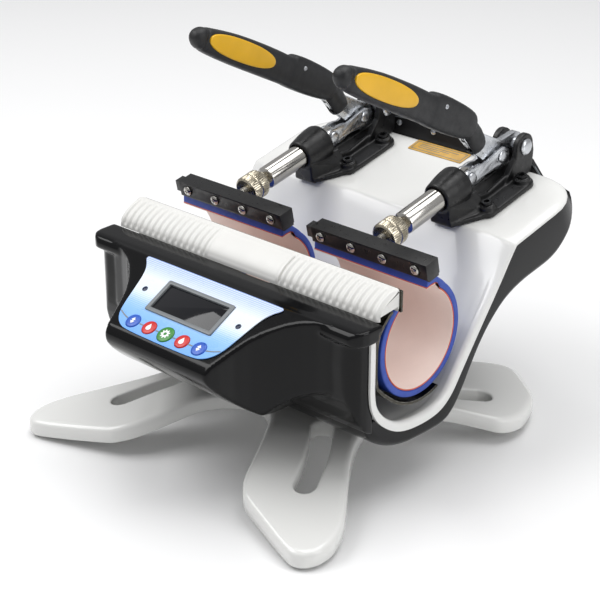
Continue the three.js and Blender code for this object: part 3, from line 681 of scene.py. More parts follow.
def stand_plan():
    right = [(0, -42), (16, -46), (30, -58), (42, -78), (53, -102), (63, -124), (74, -136), (80, -140),
             (112, -151), (146, -163), (154, -163), (161, -159), (166, -150), (167, -140), (166, -130),
             (158, -110), (138, -84), (116, -56), (100, -30), (92, -4), (92, 22), (102, 50), (122, 74),
             (144, 90), (152, 96), (156, 104), (158, 114), (157, 126), (149, 148), (142, 160), (134, 167),
             (104, 189), (96, 192), (88, 191), (80, 186), (70, 176), (56, 150), (42, 122), (26, 104), (0, 96)]
    left = [(-x, y) for x, y in reversed(right[1:-1])]
    return chaikin(right + left, 2)


def slot_plan(side, spine, half):
    line = curve(spine)
    outer, inner = inset(line, half, closed=False), inset(line, -half, closed=False)

    def cap(p, way, turn):
        return [(p[0] + half * math.cos(way + turn * t), p[1] + half * math.sin(way + turn * t))
                for t in (math.pi / 4, 0, -math.pi / 4)]

    start = math.atan2(spine[0][1] - spine[1][1], spine[0][0] - spine[1][0])
    stop = math.atan2(spine[-1][1] - spine[-2][1], spine[-1][0] - spine[-2][0])
    ring = outer + cap(spine[-1], stop, 1) + inner[::-1] + cap(spine[0], start, 1)
    return chaikin(leftward([(side * x, y) for x, y in ring]), 1)


def rimmed_sheet(name, outline, holes, height, low, bevel, drop, wall, skin, step):
    """A moulded shell with a broad rounded edge, an open underside and walled holes."""
    loops = [(outline, 1.0, bevel)] + [(hole, -1.0, bevel * 0.45) for hole in holes]
    bends = [math.pi / 2 * i / 5 for i in range(6)]
    forms, tops, unders = [], [], []
    for loop, sign, soft in loops:
        fall = drop * soft / bevel
        rings = []
        for t in bends:
            edge = inset(loop, sign * soft * (1 - math.sin(t)))
            rings.append([(x, y, height(x, y) - fall * (1 - math.cos(t))) for x, y in edge])
        tops.append([(x, y) for x, y, _ in rings[0]])
        rings.append([(x, y, low(x, y) + 1.0) for x, y in loop])
        rings.append([(x, y, low(x, y)) for x, y in inset(loop, sign * 0.8)])
        under = inset(loop, sign * wall)
        rings.append([(x, y, low(x, y)) for x, y in under])
        rings.append([(x, y, height(x, y) - skin - fall) for x, y in under])
        unders.append(under)
        forms.append(loft(rings, caps=False))
    forms.append(sheet_fill(tops, step, height))
    forms.append(sheet_fill(unders, step * 1.6, lambda x, y: height(x, y) - skin - drop))
    return solid(name, *forms, weld=0.02)


def add_stand():
    front = [(72, -40), (84, -56), (96, -76), (107, -100)]
    rear = [(78, 62), (92, 80), (106, 98), (118, 116)]
    holes = [slot_plan(side, spine, 9.5) for side in (1, -1) for spine in (front, rear)]
    stand = rimmed_sheet("stand", stand_plan(), holes, stand_height, stand_edge, 6.0, 4.0, 3.2, 3.4, 6.0)
    show(stand, "white_gloss", stands_for=["base_stand"], sharp=60)
    for place in ("front_right", "rear_right", "front_left", "rear_left"):
        lo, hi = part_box(f"foot_pad_{place}")
        x, y = (lo.x + hi.x) / 2 / MM, (lo.y + hi.y) / 2 / MM - SHIFT
        pad = fused(f"rubber_foot_{place}", turned([(6.8, -132), (8.0, -131.4), (8.4, -130.2), (8.4, -129.5),
                                                    (6.0, -129.5)], 36), place=Matrix.Translation((x, y, 0)))
        show(pad, "rubber_black", stands_for=[f"foot_pad_{place}"])


# ------------------------------------------------------------------ tray and lower shell

TRAY_HALF = 148.0
DECK_CORNER = 42.0
SHELL_HALF = 145.6
SHELL_REAR = 212.5
SHELL_ROLL = 6.5                # radius along the skirt's lower edge
TROUGH = [(-70, 28), (-70, 0), (-70, -28), (-65, -42), (-56, -53), (-42, -63.5), (-26, -69.5), (-6, -71.5),
          (12, -70.5), (24, -66.5), (35, -57.5), (44, -45)]
SKIRT = [(-72, -52), (-60, -70), (-32, -84), (3, -86.5), (28, -86.5), (40, -79), (50, -66), (60, -49),
         (72, -31), (86, -16), (106, -1), (128, 7), (150, 11), (168, 14), (182, 20), (194, 31), (204, 45),
         (210, 56), (SHELL_REAR, 62)]


def deck_point(s, n=0.0):
    return (KINK[0] + s * math.cos(DECK) - n * math.sin(DECK),
            KINK[1] + s * math.sin(DECK) + n * math.cos(DECK))


def tray_line():
    rise = [deck_point(-3, 1.4), deck_point(0.5, 2), deck_point(4, 2), deck_point(50, 2), deck_point(90, 2),
            deck_point(98, 1.4), deck_point(101, -0.6)]
    line = inset(TROUGH, 4.0, closed=False) + [(66, -9), (88, 19)] + rise
    made = curve(line)
    out = [made[0]]
    for p in made[1:]:
        if math.dist(p, out[-1]) > 1.2:
            out.append(p)
    return out


def add_tray():
    """White tray: a lipped trough, a steep rise, and a deck whose long edges roll off."""
    line = tray_line()
    rear = line[-1][0]
    normals = [(b[0] - a[0], b[1] - a[1]) for a, b in zip(line, inset(line, 1.0, closed=False))]
    lipped = [(0.0, -4.0), (0.0, 0.6), (0.5, 2.2), (2.0, 3.2), (5.2, 3.4), (6.2, 2.9), (6.5, 1.4), (7.0, 1.1),
              (12.0, 0.9), (13.0, 0.4), (14.0, 0.0), (18.0, 0.0), (30.0, 0.0), (60.0, 0.0)]
    rolled = [(0.0, -4.0), (0.0, -3.4), (0.5, -2.6), (1.8, -2.0), (5.2, -1.2), (8.0, -0.75), (10.0, -0.5),
              (12.0, -0.3), (15.0, -0.15), (18.0, -0.06), (21.0, 0.0), (24.0, 0.0), (32.0, 0.0), (60.0, 0.0)]
    rings = []
    for (y, z), (ny, nz) in zip(line, normals):
        roll = between(y, [(60.0, 0.0), (100.0, 1.0)])
        pull = max(0.0, y - (rear - DECK_CORNER))
        half = TRAY_HALF - DECK_CORNER + math.sqrt(max(DECK_CORNER ** 2 - pull ** 2, 0.0))
        section = [(a + (c - a) * roll, b + (d - b) * roll) for (a, b), (c, d) in zip(lipped, rolled)]
        right = [(half - across, up) for across, up in section]
        under = [(-half + 1.0, -4.0), (half - 1.0, -4.0)]
        rings.append([(x, y + ny * up, z + nz * up) for x, up in mirrored(right) + under])
    tray = solid("tray", loft(rings))
    show(tray, "white_gloss", stands_for=["tray_deck"], sharp=50)


def resampled(line, count):
    total = sum(math.dist(a, b) for a, b in zip(line, line[1:]))
    made, walked, k = [], 0.0, 0
    for i in range(count):
        want = total * i / (count - 1)
        while k < len(line) - 2 and walked + math.dist(line[k], line[k + 1]) < want:
            walked += math.dist(line[k], line[k + 1])
            k += 1
        t = min((want - walked) / math.dist(line[k], line[k + 1]), 1.0)
        made.append(tuple(a + (b - a) * t for a, b in zip(line[k], line[k + 1])))
    return made


def add_lower_shell():
    """Piano-black skirt under the tray, rounded along its lower edges and its rear corners."""
    low = resampled(curve(SKIRT), 90)
    under = inset(tray_line(), -4.3, closed=False)
    high = resampled([p for p in under if p[1] < -46 or p[0] > -40], 90)
    rings = []
    for (y0, z0), (y1, z1) in zip(low, high):
        tall = math.dist((y0, z0), (y1, z1))
        up = ((y1 - y0) / tall, (z1 - z0) / tall)
        foot, head = [SHELL_HALF - r + math.sqrt(max(r * r - max(0.0, y - (SHELL_REAR - r)) ** 2, 0.0))
                      for y, r in ((y0, 20.0), (y1, 38.0))]
        soft = min(SHELL_ROLL, 0.7 * tall)
        bend = [(soft * (1 - math.sin(t)), soft * (1 - math.cos(t)))
                for t in (math.pi / 2 * i / 7 for i in range(8))]
        side = [(foot - across, lift) for across, lift in bend] + [(head, tall)]
        rings.append([(x, y0 + up[0] * h, z0 + up[1] * h) for x, h in mirrored(side)])
    shell = solid("lower_shell_gloss", loft(rings))
    show(shell, "black_gloss", stands_for=["lower_shell"], sharp=50)


HOOD_FRONT, HOOD_REAR = 213.0, 217.0


def add_rear_hood():
    hood = from_cad("rear_hood", "rear_cover", 1.0, 3)
    show(hood, "black_plastic", stands_for=["rear_cover"])
    # The grey tube along the hood's curved top edge is a painted highlight: it stands in for light on the
    # black edge and is not a real bead.
    line = curve([(-103.5, 63), (-88, 80), (-66, 88), (66, 88), (88, 80), (103.5, 63)], 3)
    highlight_strip = solid("hood_edge_painted_highlight", tube([(x, 213.6, z - 0.9) for x, z in line], [(0.9, 0.9)] * len(line), 10,
                                        (0, 1, 0)))
    show(highlight_strip, "lcd_grey")
    dome = [(2.9, 0), (2.7, 0.9), (1.8, 1.5), (0.4, 1.7)]
    rear = [rod_y(x, z, [(r, HOOD_REAR + h) for r, h in dome], 20) for x in (-96, 96) for z in (48, 59)]
    front = [rod_y(x, 80.5, [(r, HOOD_FRONT - h) for r, h in dome], 20) for x in (-60, -20, 20, 60)]
    show(solid("hood_screws", *rear, *front), "galvanised")
    turn = Matrix.Translation((0, HOOD_REAR + 0.8, 0)) @ Matrix.Rotation(math.radians(90), 4, "X")
    bar = rounded_rect(-2, 2, 43, 60, 1.9, 4)
    slats = [moved(prism([(x + 26 + i * 7.0, z) for x, z in bar], 0, 0.9), turn) for i in range(9)]
    show(chamfer(solid("hood_vent_bars", *slats), 0.35), "black_plastic")
    plate = solid("rating_plate", block(-9, 22, HOOD_REAR, HOOD_REAR + 0.7, 66, 80))
    show(chamfer(plate, 0.25), "lcd_grey")


def add_mains():
    inlet = from_cad("mains_inlet", "power_inlet", 0.35)
    show(inlet, "black_plastic", stands_for=["power_inlet"])
    rocker = from_cad("mains_switch", "power_switch", 0.6, 3)
    show(rocker, "black_plastic", "power_switch", ["power_switch"])
    stroke = block(-23.0, -22.0, 218.9, 219.7, 57.2, 60.0)
    ring = moved(turned([(1.5, 0), (1.5, 0.5), (0.9, 0.5), (0.9, 0)], 20),
                 Matrix.Translation((-22.5, 218.9, 45.6)) @ ALONG_Y)
    show(solid("switch_marks", stroke, ring), "icon_white", "power_switch")


def add_amber_plate():
    plate = solid("amber_plate", prism(rounded_rect(-32, 28, 80, 97, 1.2), 2.05, 2.7), place=on_deck(0))
    show(chamfer(plate, 0.15), "amber", stands_for=["caution_plate"])
    outer, inner = rounded_rect(-30, 26, 82, 95, 1), rounded_rect(-29.4, 25.4, 82.6, 94.4, 0.8)
    ring = loft([[(x, y, 2.7) for x, y in outer], [(x, y, 2.86) for x, y in outer],
                 [(x, y, 2.86) for x, y in inner], [(x, y, 2.7) for x, y in inner]], loop=True)
    bars = [block(-24, 18 - 9 * i, 91 - 2.6 * i, 91.7 - 2.6 * i, 2.7, 2.84) for i in range(3)]
    show(solid("amber_plate_print", ring, *bars, place=on_deck(0)), "line_grey")


# ------------------------------------------------------------------ front housing and panel

def panel_point(u, n):
    return (FACE_TOP[0] - u * math.cos(FACE) - n * math.sin(FACE),
            FACE_TOP[1] - u * math.sin(FACE) + n * math.cos(FACE))


def add_housing():
    """Piano-black bar, lower front and flared pod, softened into one moulding."""
    half, waist = 151.5, 146.0
    bar_side = [(-56.5, 37.0), (-82, 36.6), (-86, 35.8), (-88.8, 33.4), (-90, 30), (-89.8, 27.2), (-88, 24.8),
                (-85, 24), (-64, 24), (-64, 30.5), (-56.5, 30.5)]
    end_plan = [(-half, -60), (-half, -77), (-half + 1.4, -82), (-half + 4.6, -86.4), (-half + 9.5, -89.4),
                (-half + 16, -92), (-half + 16, -110)]
    low_side = [(-64, 26), (-86.2, 26), (-86.6, 4), (-86, -18), (-85.2, -25), (-82.6, -34), (-77.6, -46),
                (-71, -54.6), (-64, -58)]
    low_plan = [(-waist, -60), (-waist, -72), (-waist + 1, -77), (-waist + 4, -81.6), (-waist + 9, -85),
                (-waist + 15, -87.4), (-waist + 15, -110)]
    chin = curve([(-157.6, -2), (-157.8, -9), (-148, -21), (-122, -43), (-104, -53), (-84, -57)])
    pod_side = [(-64, 36.1), (-88, 36.1), panel_point(72.6, 0)] + chin + [(-64, -57)]
    flare_plan = [(50, -170), (54.5, -164), (57.5, -156), (61, -147), (65.5, -134), (71, -121), (79, -110),
                  (88, -101), (98, -94.6), (110, -89.8), (122, -87), (122, -60)]
    under = [(122, 60), (122, -22), (108, -26), (94, -32), (82, -41), (71, -52), (60, -66)]
    bar = solid("housing", prism_x(bar_side, -half, half))
    carve(bar, solid("ends", prism(mirrored(end_plan), -100, 100)), operation="INTERSECT")
    front = solid("front", prism_x(low_side, -waist - 3, waist + 3))
    carve(front, solid("corners", prism(mirrored(low_plan), -100, 100)), operation="INTERSECT")
    pod = solid("pod", prism_x(pod_side, -130, 130))
    flare = solid("flare", prism(mirrored(flare_plan), -100, 100))
    keel = solid("keel", moved(prism(mirrored([(x, -z) for x, z in under]), -200, -50), ALONG_Y))
    carve(pod, flare, keel, operation="INTERSECT")
    carve(bar, front, pod, operation="UNION")
    cast(bar, 1.4, 6)
    show(bar, "black_gloss", stands_for=["front_housing"], sharp=75)
    for name in ("control_board", "power_board"):
        board = from_cad(f"{name}_finished", name, 0.2, 1)
        show(board, "board_green", stands_for=[name])


def label_plan():
    half = [(0, 1), (74, 1), (76, 1.6), (76.6, 3), (75.4, 5), (71.6, 8.6), (67.6, 14.5), (65, 22), (62.4, 34),
            (60, 46), (57.8, 55), (54.4, 62.5), (48, 68.6), (39, 71.6), (0, 72)]
    smooth = curve(half)
    return [(-x, y) for x, y in reversed(smooth[1:-1])] + smooth


LCD_U = (15.4, 48.3)
BUTTON_U = 62.2
BUTTON_PITCH = 18.6
BUTTONS = (("button_blue", "arrows", 6.6), ("button_red", "drop", 6.6), ("button_green", "gear", 7.6),
           ("button_red", "drop", 6.6), ("button_blue", "arrows", 6.6))


def gear(teeth, outer, inner):
    ring = []
    for i in range(teeth):
        t = 2 * math.pi * i / teeth
        w = math.pi / teeth
        ring += [(outer * math.sin(t + d * w), outer * math.cos(t + d * w)) for d in (-0.28, 0.28)]
        ring += [(inner * math.sin(t + d * w), inner * math.cos(t + d * w)) for d in (0.62, 1.38)]
    return ring[::-1]


def icon(kind):
    if kind == "gear":
        outer = gear(9, 4.4, 3.2)
        hole = [(1.5 * x / 4.4, 1.5 * y / 4.4) for x, y in gear(9, 4.4, 4.4)]
        levels = ((outer, 0), (outer, 0.14), (hole, 0.14), (hole, 0))
        rings = [[(x, y, z) for x, y in ring] for ring, z in levels]
        return [loft(rings, loop=True)]
    if kind == "drop":
        shape = [(0, -3.6), (1.0, -2.0), (2.1, -0.2), (2.4, 1.2), (1.7, 2.6),
                 (0, 3.2), (-1.7, 2.6), (-2.4, 1.2), (-2.1, -0.2), (-1.0, -2.0)]
        return [prism(shape, 0, 0.14)]
    up = [(0, -3.2), (2.2, -0.6), (1.0, -0.6), (1.0, 0.2), (-1.0, 0.2), (-1.0, -0.6), (-2.2, -0.6)]
    return [prism(up, 0, 0.14), prism([(x, -y) for x, y in reversed(up)], 0, 0.14)]


def add_panel():
    holes = [arc((i - 2) * BUTTON_PITCH, BUTTON_U, button[2] + 0.25, 0, 348.75, 31)
             for i, button in enumerate(BUTTONS)]
    top, low = LCD_U[0] + 0.3, LCD_U[1] - 0.3
    holes.append([(-37.2, top), (37.2, top), (37.2, low), (-37.2, low)])
    loops = [leftward(label_plan()), *holes]
    forms = [sheet_fill(loops, 5.0, lambda x, y: 1.0), sheet_fill(loops, 9.0, lambda x, y: 0.3)]
    for loop in loops:
        forms.append(loft([[(x, y, 1.0) for x, y in loop], [(x, y, 0.3) for x, y in loop]], caps=False))
    label = solid("panel_label", *forms, place=PANEL, weld=0.02)
    show(label, "label_blue", stands_for=["control_label"], sharp=30)
    rim = panel_part("lcd_rim", prism(rounded_rect(-37, 37, *LCD_U, 1.6), -4, 2.3))
    well = panel_part("well", prism(rounded_rect(-33.4, 33.4, LCD_U[0] + 3.5, LCD_U[1] - 3.5, 0.8), 0.6, 5))
    show(chamfer(carve(rim, well), 0.45, 3), "lcd_grey", stands_for=["lcd_bezel"])
    pane = rounded_rect(-33.1, 33.1, LCD_U[0] + 3.8, LCD_U[1] - 3.8, 0.6)
    glass = panel_part("lcd_glass", prism(pane, -1.5, 1.0))
    show(chamfer(glass, 0.2), "lcd_black", stands_for=["lcd_screen"])
    for i, (look, kind, r) in enumerate(BUTTONS):
        name = f"button_{i + 1}"
        spot = PANEL @ Matrix.Translation(((2 - i) * BUTTON_PITCH, BUTTON_U, 0))
        dish = [(r, -3.4), (r, 1.2), (r - 0.25, 1.6), (r - 0.8, 1.85), (r - 2.2, 1.98), (0.6, 2.05)]
        key = solid(f"{name}_key", turned(dish, 48), place=spot)
        show(key, look, name, [name])
        lift = spot @ Matrix.Translation((0, 0, 1.95))
        show(solid(f"{name}_icon", *icon(kind), place=lift), "icon_white", name)
    links = []
    for a, b in ((-60, -44.4), (-30, -25.2), (-11.2, -8.2), (8.2, 11.2), (25.2, 30), (44.4, 60)):
        run = [a + (b - a) * i / 8 for i in range(9)]
        line = [(x, BUTTON_U - 0.014 * max(abs(x) - 37, 0) ** 2, 1.05) for x in run]
        line = [p for p in line if abs(p[0]) < 57]
        rings = [[(x, u - 0.6, z), (x, u + 0.6, z), (x, u + 0.6, z + 0.12), (x, u - 0.6, z + 0.12)]
                 for x, u, z in line]
        links.append(loft(rings))
    show(panel_part("button_link_line", *links), "line_grey")
    lens = turned([(2.5, 0.9), (2.5, 1.25), (2.2, 1.45), (1.5, 1.5), (1.3, 1.2), (0.9, 1.45),
                   (0.3, 1.55)], 28)
    lamps = [moved(lens, Matrix.Translation((x, 31, 0))) for x in (-52.7, 52.7)]
    show(panel_part("indicator_lamps", *lamps), "led_navy")


# ------------------------------------------------------------------ ribbed cover

COVER_HALF = 145.6
RIBS, RIB_PITCH, FIRST_RIB = 15, 6.9, 41.5
GROOVE_DEPTH = 1.7


def groove(x):
    """Share of the full groove depth at x; the ribs lie either side of the plain centre panel."""
    t = (abs(x) - FIRST_RIB) / RIB_PITCH
    if t < 0 or t > RIBS:
        return 0.0
    return min(1.0, max(0.0, math.cos(2 * math.pi * t) * 0.5 + 0.32) * 1.6)


def add_ribbed_cover():
    face = curve([(-33, 40), (-33, 54.6), (-33.6, 55.9), (-35, 56.4), (-39, 55.6), (-44, 54.2), (-52, 50.0),
                  (-57.6, 45.0), (-59.8, 41), (-59.8, 36.2)])
    back = [(-57, 36.2), (-57, 40), (-36, 42), (-36, 38)]
    reach = [0.0]
    for a, b in zip(face, face[1:]):
        reach.append(reach[-1] + math.dist(a, b))
    start, stop = reach[-1] - 33.0, reach[-1] - 1.5
    pulled = inset(face, 1.0, closed=False)
    rings = []
    for i in range(461):
        x = -COVER_HALF + i * 2 * COVER_HALF / 460
        end = max(0.0, abs(x) - (COVER_HALF - 4.0)) / 4.0
        shrink = 2.6 * (1 - math.sqrt(max(1 - end * end, 0.0)))
        ring = []
        for p, q, along in zip(face, pulled, reach):
            soft = min(max((along - start) / 4.0, 0.0), 1.0) * min(max((stop - along) / 3.0, 0.0), 1.0)
            edge = min(38.5 - abs(x), along - start - 1.0, stop - along - 2.0)
            raised = 0.55 * min(max(edge / 0.8, 0.0), 1.0)
            depth = shrink + GROOVE_DEPTH * groove(x) * soft + raised
            ring.append((x, p[0] + (q[0] - p[0]) * depth, p[1] + (q[1] - p[1]) * depth))
        rings.append(ring + [(x, y, z) for y, z in back])
    show(solid("ribbed_cover_moulding", loft(rings)), "rib_white", stands_for=["ribbed_cover"], sharp=55)
    strip = [block(-142, 142.6, -32.4, -30.9, 42.5, 54.6), block(143.2, 146.4, -33.6, -31.2, 36.5, 54.4)]
    show(chamfer(solid("cover_edge_strip", *strip), 0.35), "dark_steel", stands_for=["cover_strip"])
    foot = solid("cover_edge_foot", block(-142, 142, -34, -30.9, 40, 42.6))
    show(chamfer(foot, 0.35), "dark_steel")


# ------------------------------------------------------------------ heater wraps

WRAP_X = (-57.0, 62.5)


def wrap_line(radius, lift):
    """Side view of the wrap from its front end, round below, to the flat flange under the bar."""
    round_part = arc(0, 0, radius, 122, 412, 70)
    tail = [(radius * math.cos(math.radians(417)), radius * math.sin(math.radians(417)) + lift * 0.15),
            (19.8, 42.0 + lift * 0.85), (16.5, 43.4 + lift * 0.98), (11, 42.9 + lift), (6.4, 42.0 + lift)]
    return round_part + tail


def add_wraps():
    """Blue pad, red hem and pale sheet of each wrap, nested inside one another."""
    bend = ("plunger", (8.0, 14.0), (24.0, 34.0))
    layers = (("heater_wrap_pad", 49.0, 6.4, 43.3, 0.0, 0.0, 1.3, 4, "silicone_blue", ["heater_wrap"], None),
              ("liner_edge", 43.2, 0.0, 42.3, -0.9, 0.3, 0.25, 2, "liner_red", [], None),
              ("liner_sheet", 42.25, -0.95, 41.7, -1.5, 0.6, 0.2, 2, "liner_pale", ["wrap_liner"],
               "liner_red"))
    for name, outer, out_lift, inner, in_lift, short, soft, steps, look, nodes, slot in layers:
        outline = wrap_line(outer, out_lift) + wrap_line(inner, in_lift)[::-1]
        ends = -BAY_X + WRAP_X[0] + short, -BAY_X + WRAP_X[1] - short
        layer = solid(f"{name}_left", rounded_x(outline, *ends, soft, steps))
        both(name, layer, look, nodes=nodes, slot=slot, sharp=50, blend=bend)


def add_cradles():
    line = curve([(-36.4, 35.6), (-44, 30), (-51.5, 21), (-54, 10), (-54, -22), (-49, -28), (-36, -39.4),
                  (-26, -46.4), (-13, -51.6), (0, -53.4), (13, -51.8), (22, -48.4)])
    plate = line + inset(line, -1.6, closed=False)[::-1]
    cradle = solid("cradle_plate_left", rounded_x(plate, -BAY_X - 56, -BAY_X + 63.5, 0.5, 3))
    both("cradle_plate", cradle, "dark_steel", nodes=["cradle"], sharp=40)


# ------------------------------------------------------------------ toggle clamps

BOLTS = [(x, s) for x in (-23, 23) for s in (24, 74)]


def add_clamp_castings():
    """Bolted plate with a guide barrel at its front and two pivot cheeks at its rear."""
    low = 2.3
    plate = prism(rounded_rect(-31.6, 31.6, 14.4, 83.6, 8), low, 7)
    nose = loft([[(-30, 20, low), (30, 20, low), (30, 20, 6.6), (-30, 20, 6.6)],
                 [(-11, -10.5, low), (11, -10.5, low), (11, -10.5, 6.4), (-11, -10.5, 6.4)]])
    web = loft([[(-24, 24, 4), (24, 24, 4), (14, 24, 22), (-14, 24, 22)],
                [(-10, -11, 4), (10, -11, 4), (11, -11, 22), (-11, -11, 22)]])
    barrel = rod_y(0, AXIS_N, [(12.0, -13), (13.2, -12), (15.6, 0), (16.6, 8), (16.8, 14), (15.6, 17)], 48)
    bosses = [moved(turned([(7.8, low), (7.4, 10.2), (6.6, 11)], 28), Matrix.Translation((x, s, 0)))
              for x, s in BOLTS]
    cheeks = []
    for a, b in ((8.6, 14), (-14, -8.6)):
        lug = [(58, 3), (100, 3), (105.6, 20)] + arc(P0_S, AXIS_N, 11.6, -10, 170, 16) + [(80, 24), (68, 14)]
        cheeks.append(prism_x(lug, a, b))
    rib = [(12, 4), (74, 4), (66, 14), (40, 11.5), (18, 17)]
    ribs = [prism_x(rib, a, b) for a, b in ((9, 13.4), (-13.4, -9))]
    tail = block(-14, 14, 78, 99, low, 7.2)
    base = fused("clamp_casting_left", plate, nose, web, barrel, *bosses, *cheeks, *ribs, tail, place=CLAMP)
    cast(base, 0.8, 4)
    bore = clamp_part("bore", rod_y(0, AXIS_N, [(10.35, -30), (10.35, 60)], 48))
    face = clamp_part("face", rod_y(0, AXIS_N, [(11.6, -16), (11.6, -12.2), (10.3, -10.9), (10.3, -8)], 48))
    pin = clamp_part("pin", rod_x(P0_S, AXIS_N, [(5.3, -20), (5.3, 20)], 32))
    room = clamp_part("room", prism_x([(22, 19), (60, 19), (60, 60), (22, 60)], -8.5, 8.5))
    carve(base, bore, face, pin, room)
    both("clamp_casting", base, "black_cast", nodes=["clamp_base"], sharp=42)
    head = turned([(4.6, 10.6), (4.6, 13.6), (4.1, 14.2), (2.6, 14.2), (2.4, 12.0), (0.3, 12.0)], 28)
    washer = turned([(6.2, 10.7), (6.2, 11.5), (5.9, 11.7), (4.4, 11.7)], 28)
    bolts = [moved(form, Matrix.Translation((x, s, 0))) for x, s in BOLTS for form in (head, washer)]
    both("clamp_bolts", clamp_part("clamp_bolts_left", *bolts), "bolt_black")


def add_plungers():
    stud = [(4.0, -91.6)]
    for i in range(24):
        s = -90.8 + i * 1.28
        stud += [(4.6, s), (4.6, s + 0.3), (4.15, s + 0.64), (4.15, s + 0.9)]
    rod = stud + [(4.6, -59.4), (8.6, -57), (9.7, -56.2), (10, -55.4), (10, 11.4), (9.4, 12)]
    body = clamp_part("plunger_rod_left", rod_y(0, AXIS_N, rod, 56))
    tang = clamp_part("tang", prism_x(capsule((6, AXIS_N), (P2_S, AXIS_N), 8.8, 8.8), -3.2, 3.2))
    chamfer(tang, 0.4)
    carve(body, tang, operation="UNION")
    both("plunger_rod", body, "chrome", "plunger", ["plunger"], sharp=30)
    pin = two_headed([(1.0, -8.6), (3.4, -8.5), (5.2, -8.0), (5.8, -7.2), (5.8, -6.5), (4.0, -6.5)])
    rivet = clamp_part("plunger_rivet_left", rod_x(P2_S, AXIS_N, pin, 36))
    both("plunger_rivet", rivet, "galvanised", "plunger", ["plunger_pin"], sharp=35)


def add_nuts():
    teeth = 44
    rings = []
    for r, s in ((10.4, -82.4), (11.9, -81.4), (12.5, -80.2), (12.5, -74.4), (11.6, -73.6), (11.6, -72.6),
                 (12.5, -71.8), (12.5, -66.0), (11.8, -64.6)):
        ring = []
        for i in range(teeth * 4):
            t = 2 * math.pi * i / (teeth * 4)
            cut = 0.55 * (0.5 - 0.5 * math.cos(teeth * t)) if r > 12 else 0.0
            ring.append(((r - cut) * math.cos(t), (r - cut) * math.sin(t), s))
        rings.append(ring)
    knurl = moved(loft(rings), Matrix.Translation((0, 0, AXIS_N)) @ ALONG_Y)
    collar = rod_y(0, AXIS_N, [(9.6, -65), (9.6, -62.4), (8.8, -60.8), (6.0, -60.6), (5.0, -61.4)], 44)
    nut = fused("knurled_nut_left", knurl, collar, place=CLAMP)
    hole = clamp_part("hole", rod_y(0, AXIS_N, [(4.95, -90), (4.95, -50)], 36))
    both("knurled_nut", carve(nut, hole), "nickel", "nut", ["adjust_nut"], sharp=32)


BAR_SCREWS = (-46, -13, 20, 53)


def add_bars():
    bar = fused("clamp_bar_left", block(-56, 65, -107, -92, 23, 37), block(-64, -50, -104, -95, 24, 34),
                block(58, 64.4, -104.5, -92.4, 20.4, 24), place=CLAMP)
    wells = [clamp_part("well", rod_y(x, AXIS_N + 1, [(5.0, -108), (5.0, -106.6)], 28)) for x in BAR_SCREWS]
    chamfer(carve(bar, *wells), 0.55, 3)
    both("clamp_bar", bar, "black_cast", "plunger", ["pressure_bar"])
    for i, x in enumerate(BAR_SCREWS, 1):
        head = [(0.3, -109.5), (1.8, -109.45), (3.3, -109.0), (4.2, -108.1), (4.4, -107.2), (4.4, -106.7),
                (2.0, -106.7), (2.0, -99.5)]
        screw = clamp_part(f"pan_screw_{i}_left", rod_y(x, AXIS_N + 1, head, 32))
        arms = [block(x - 2.4, x + 2.4, -111, -108.5, AXIS_N + 0.55, AXIS_N + 1.45),
                block(x - 0.45, x + 0.45, -111, -108.5, AXIS_N - 1.4, AXIS_N + 3.4)]
        carve(screw, *[clamp_part("arm", arm) for arm in arms])
        both(f"pan_screw_{i}", screw, "chrome", "plunger", [f"bar_screw_{i}"], sharp=30)


def add_links():
    """Two pressed plates, set further apart at the lever end, tied by one round bar."""
    narrow, wide = 3.6, 4.4
    outline = (arc(P1_S, AXIS_N, 8.3, -78, 78, 12) + [(62, 36.4), (55, 35.2), (50, 34.6), (46, 34.8)]
               + [(40, 36.6), (35, 37.2)] + arc(P2_S, AXIS_N, 8.6, 62, 298, 16)
               + [(35, 20.8), (40, 21.4), (46, 23.2), (50, 23.4), (55, 22.8), (62, 21.6)])
    forms = []
    for side in (1, -1):
        rings = []
        for x in (0.0, 2.5):
            rings.append([(side * (x + narrow + (wide - narrow) * between(s, [(46, 0), (50, 1)])), s, n)
                          for s, n in outline])
        forms.append(loft(rings))
    plates = clamp_part("link_plates_left", *forms)
    tie = clamp_part("tie", rod_x(P2_S + 13.4, AXIS_N, [(3.5, -3.9), (3.5, 3.9)], 28))
    carve(plates, tie, operation="UNION")
    holes = [clamp_part("hole", rod_x(s, AXIS_N, [(4.2, -10), (4.2, 10)], 32)) for s in (P1_S, P2_S)]
    chamfer(carve(plates, *holes), 0.3, 2)
    both("link_plates", plates, "galvanised", "link", ["toggle_link"])
    pin = two_headed([(0.8, -8.2), (3.2, -8.15), (5.0, -7.9), (5.7, -7.3), (5.7, -7.0), (4.0, -7.0)])
    both("lever_rivet", clamp_part("lever_rivet_left", rod_x(P1_S, AXIS_N, pin, 36)), "galvanised", "link",
         ["lever_pin"], sharp=35)
    pivot = two_headed([(1.2, -17.2), (4.4, -17.0), (6.4, -16.2), (7.2, -15.2), (7.2, -14.2), (5.0, -14.2)])
    both("pivot_rivet", clamp_part("pivot_rivet_left", rod_x(P0_S, AXIS_N, pivot, 40)), "galvanised",
         nodes=["pivot_pin"], sharp=35)


def add_levers():
    strap = from_cad("lever_strap_left", "lever_left", 0.35, 2)
    both("lever_strap", strap, "galvanised", "lever", ["lever"])


def grip_section(u, half, low, high, power, sides=40):
    ring = []
    for k in range(sides):
        t = 2 * math.pi * k / sides
        c, s = math.cos(t), math.sin(t)
        x = half * math.copysign(abs(c) ** (2 / power), c)
        z = (high + low) / 2 + (high - low) / 2 * math.copysign(abs(s) ** (2 / power), s)
        ring.append((x, u, z))
    return ring


GRIP_HALF = 8.5
OVAL_U, OVAL_V, OVAL_LONG, OVAL_TALL = 131.0, -1.2, 42.0, 9.2


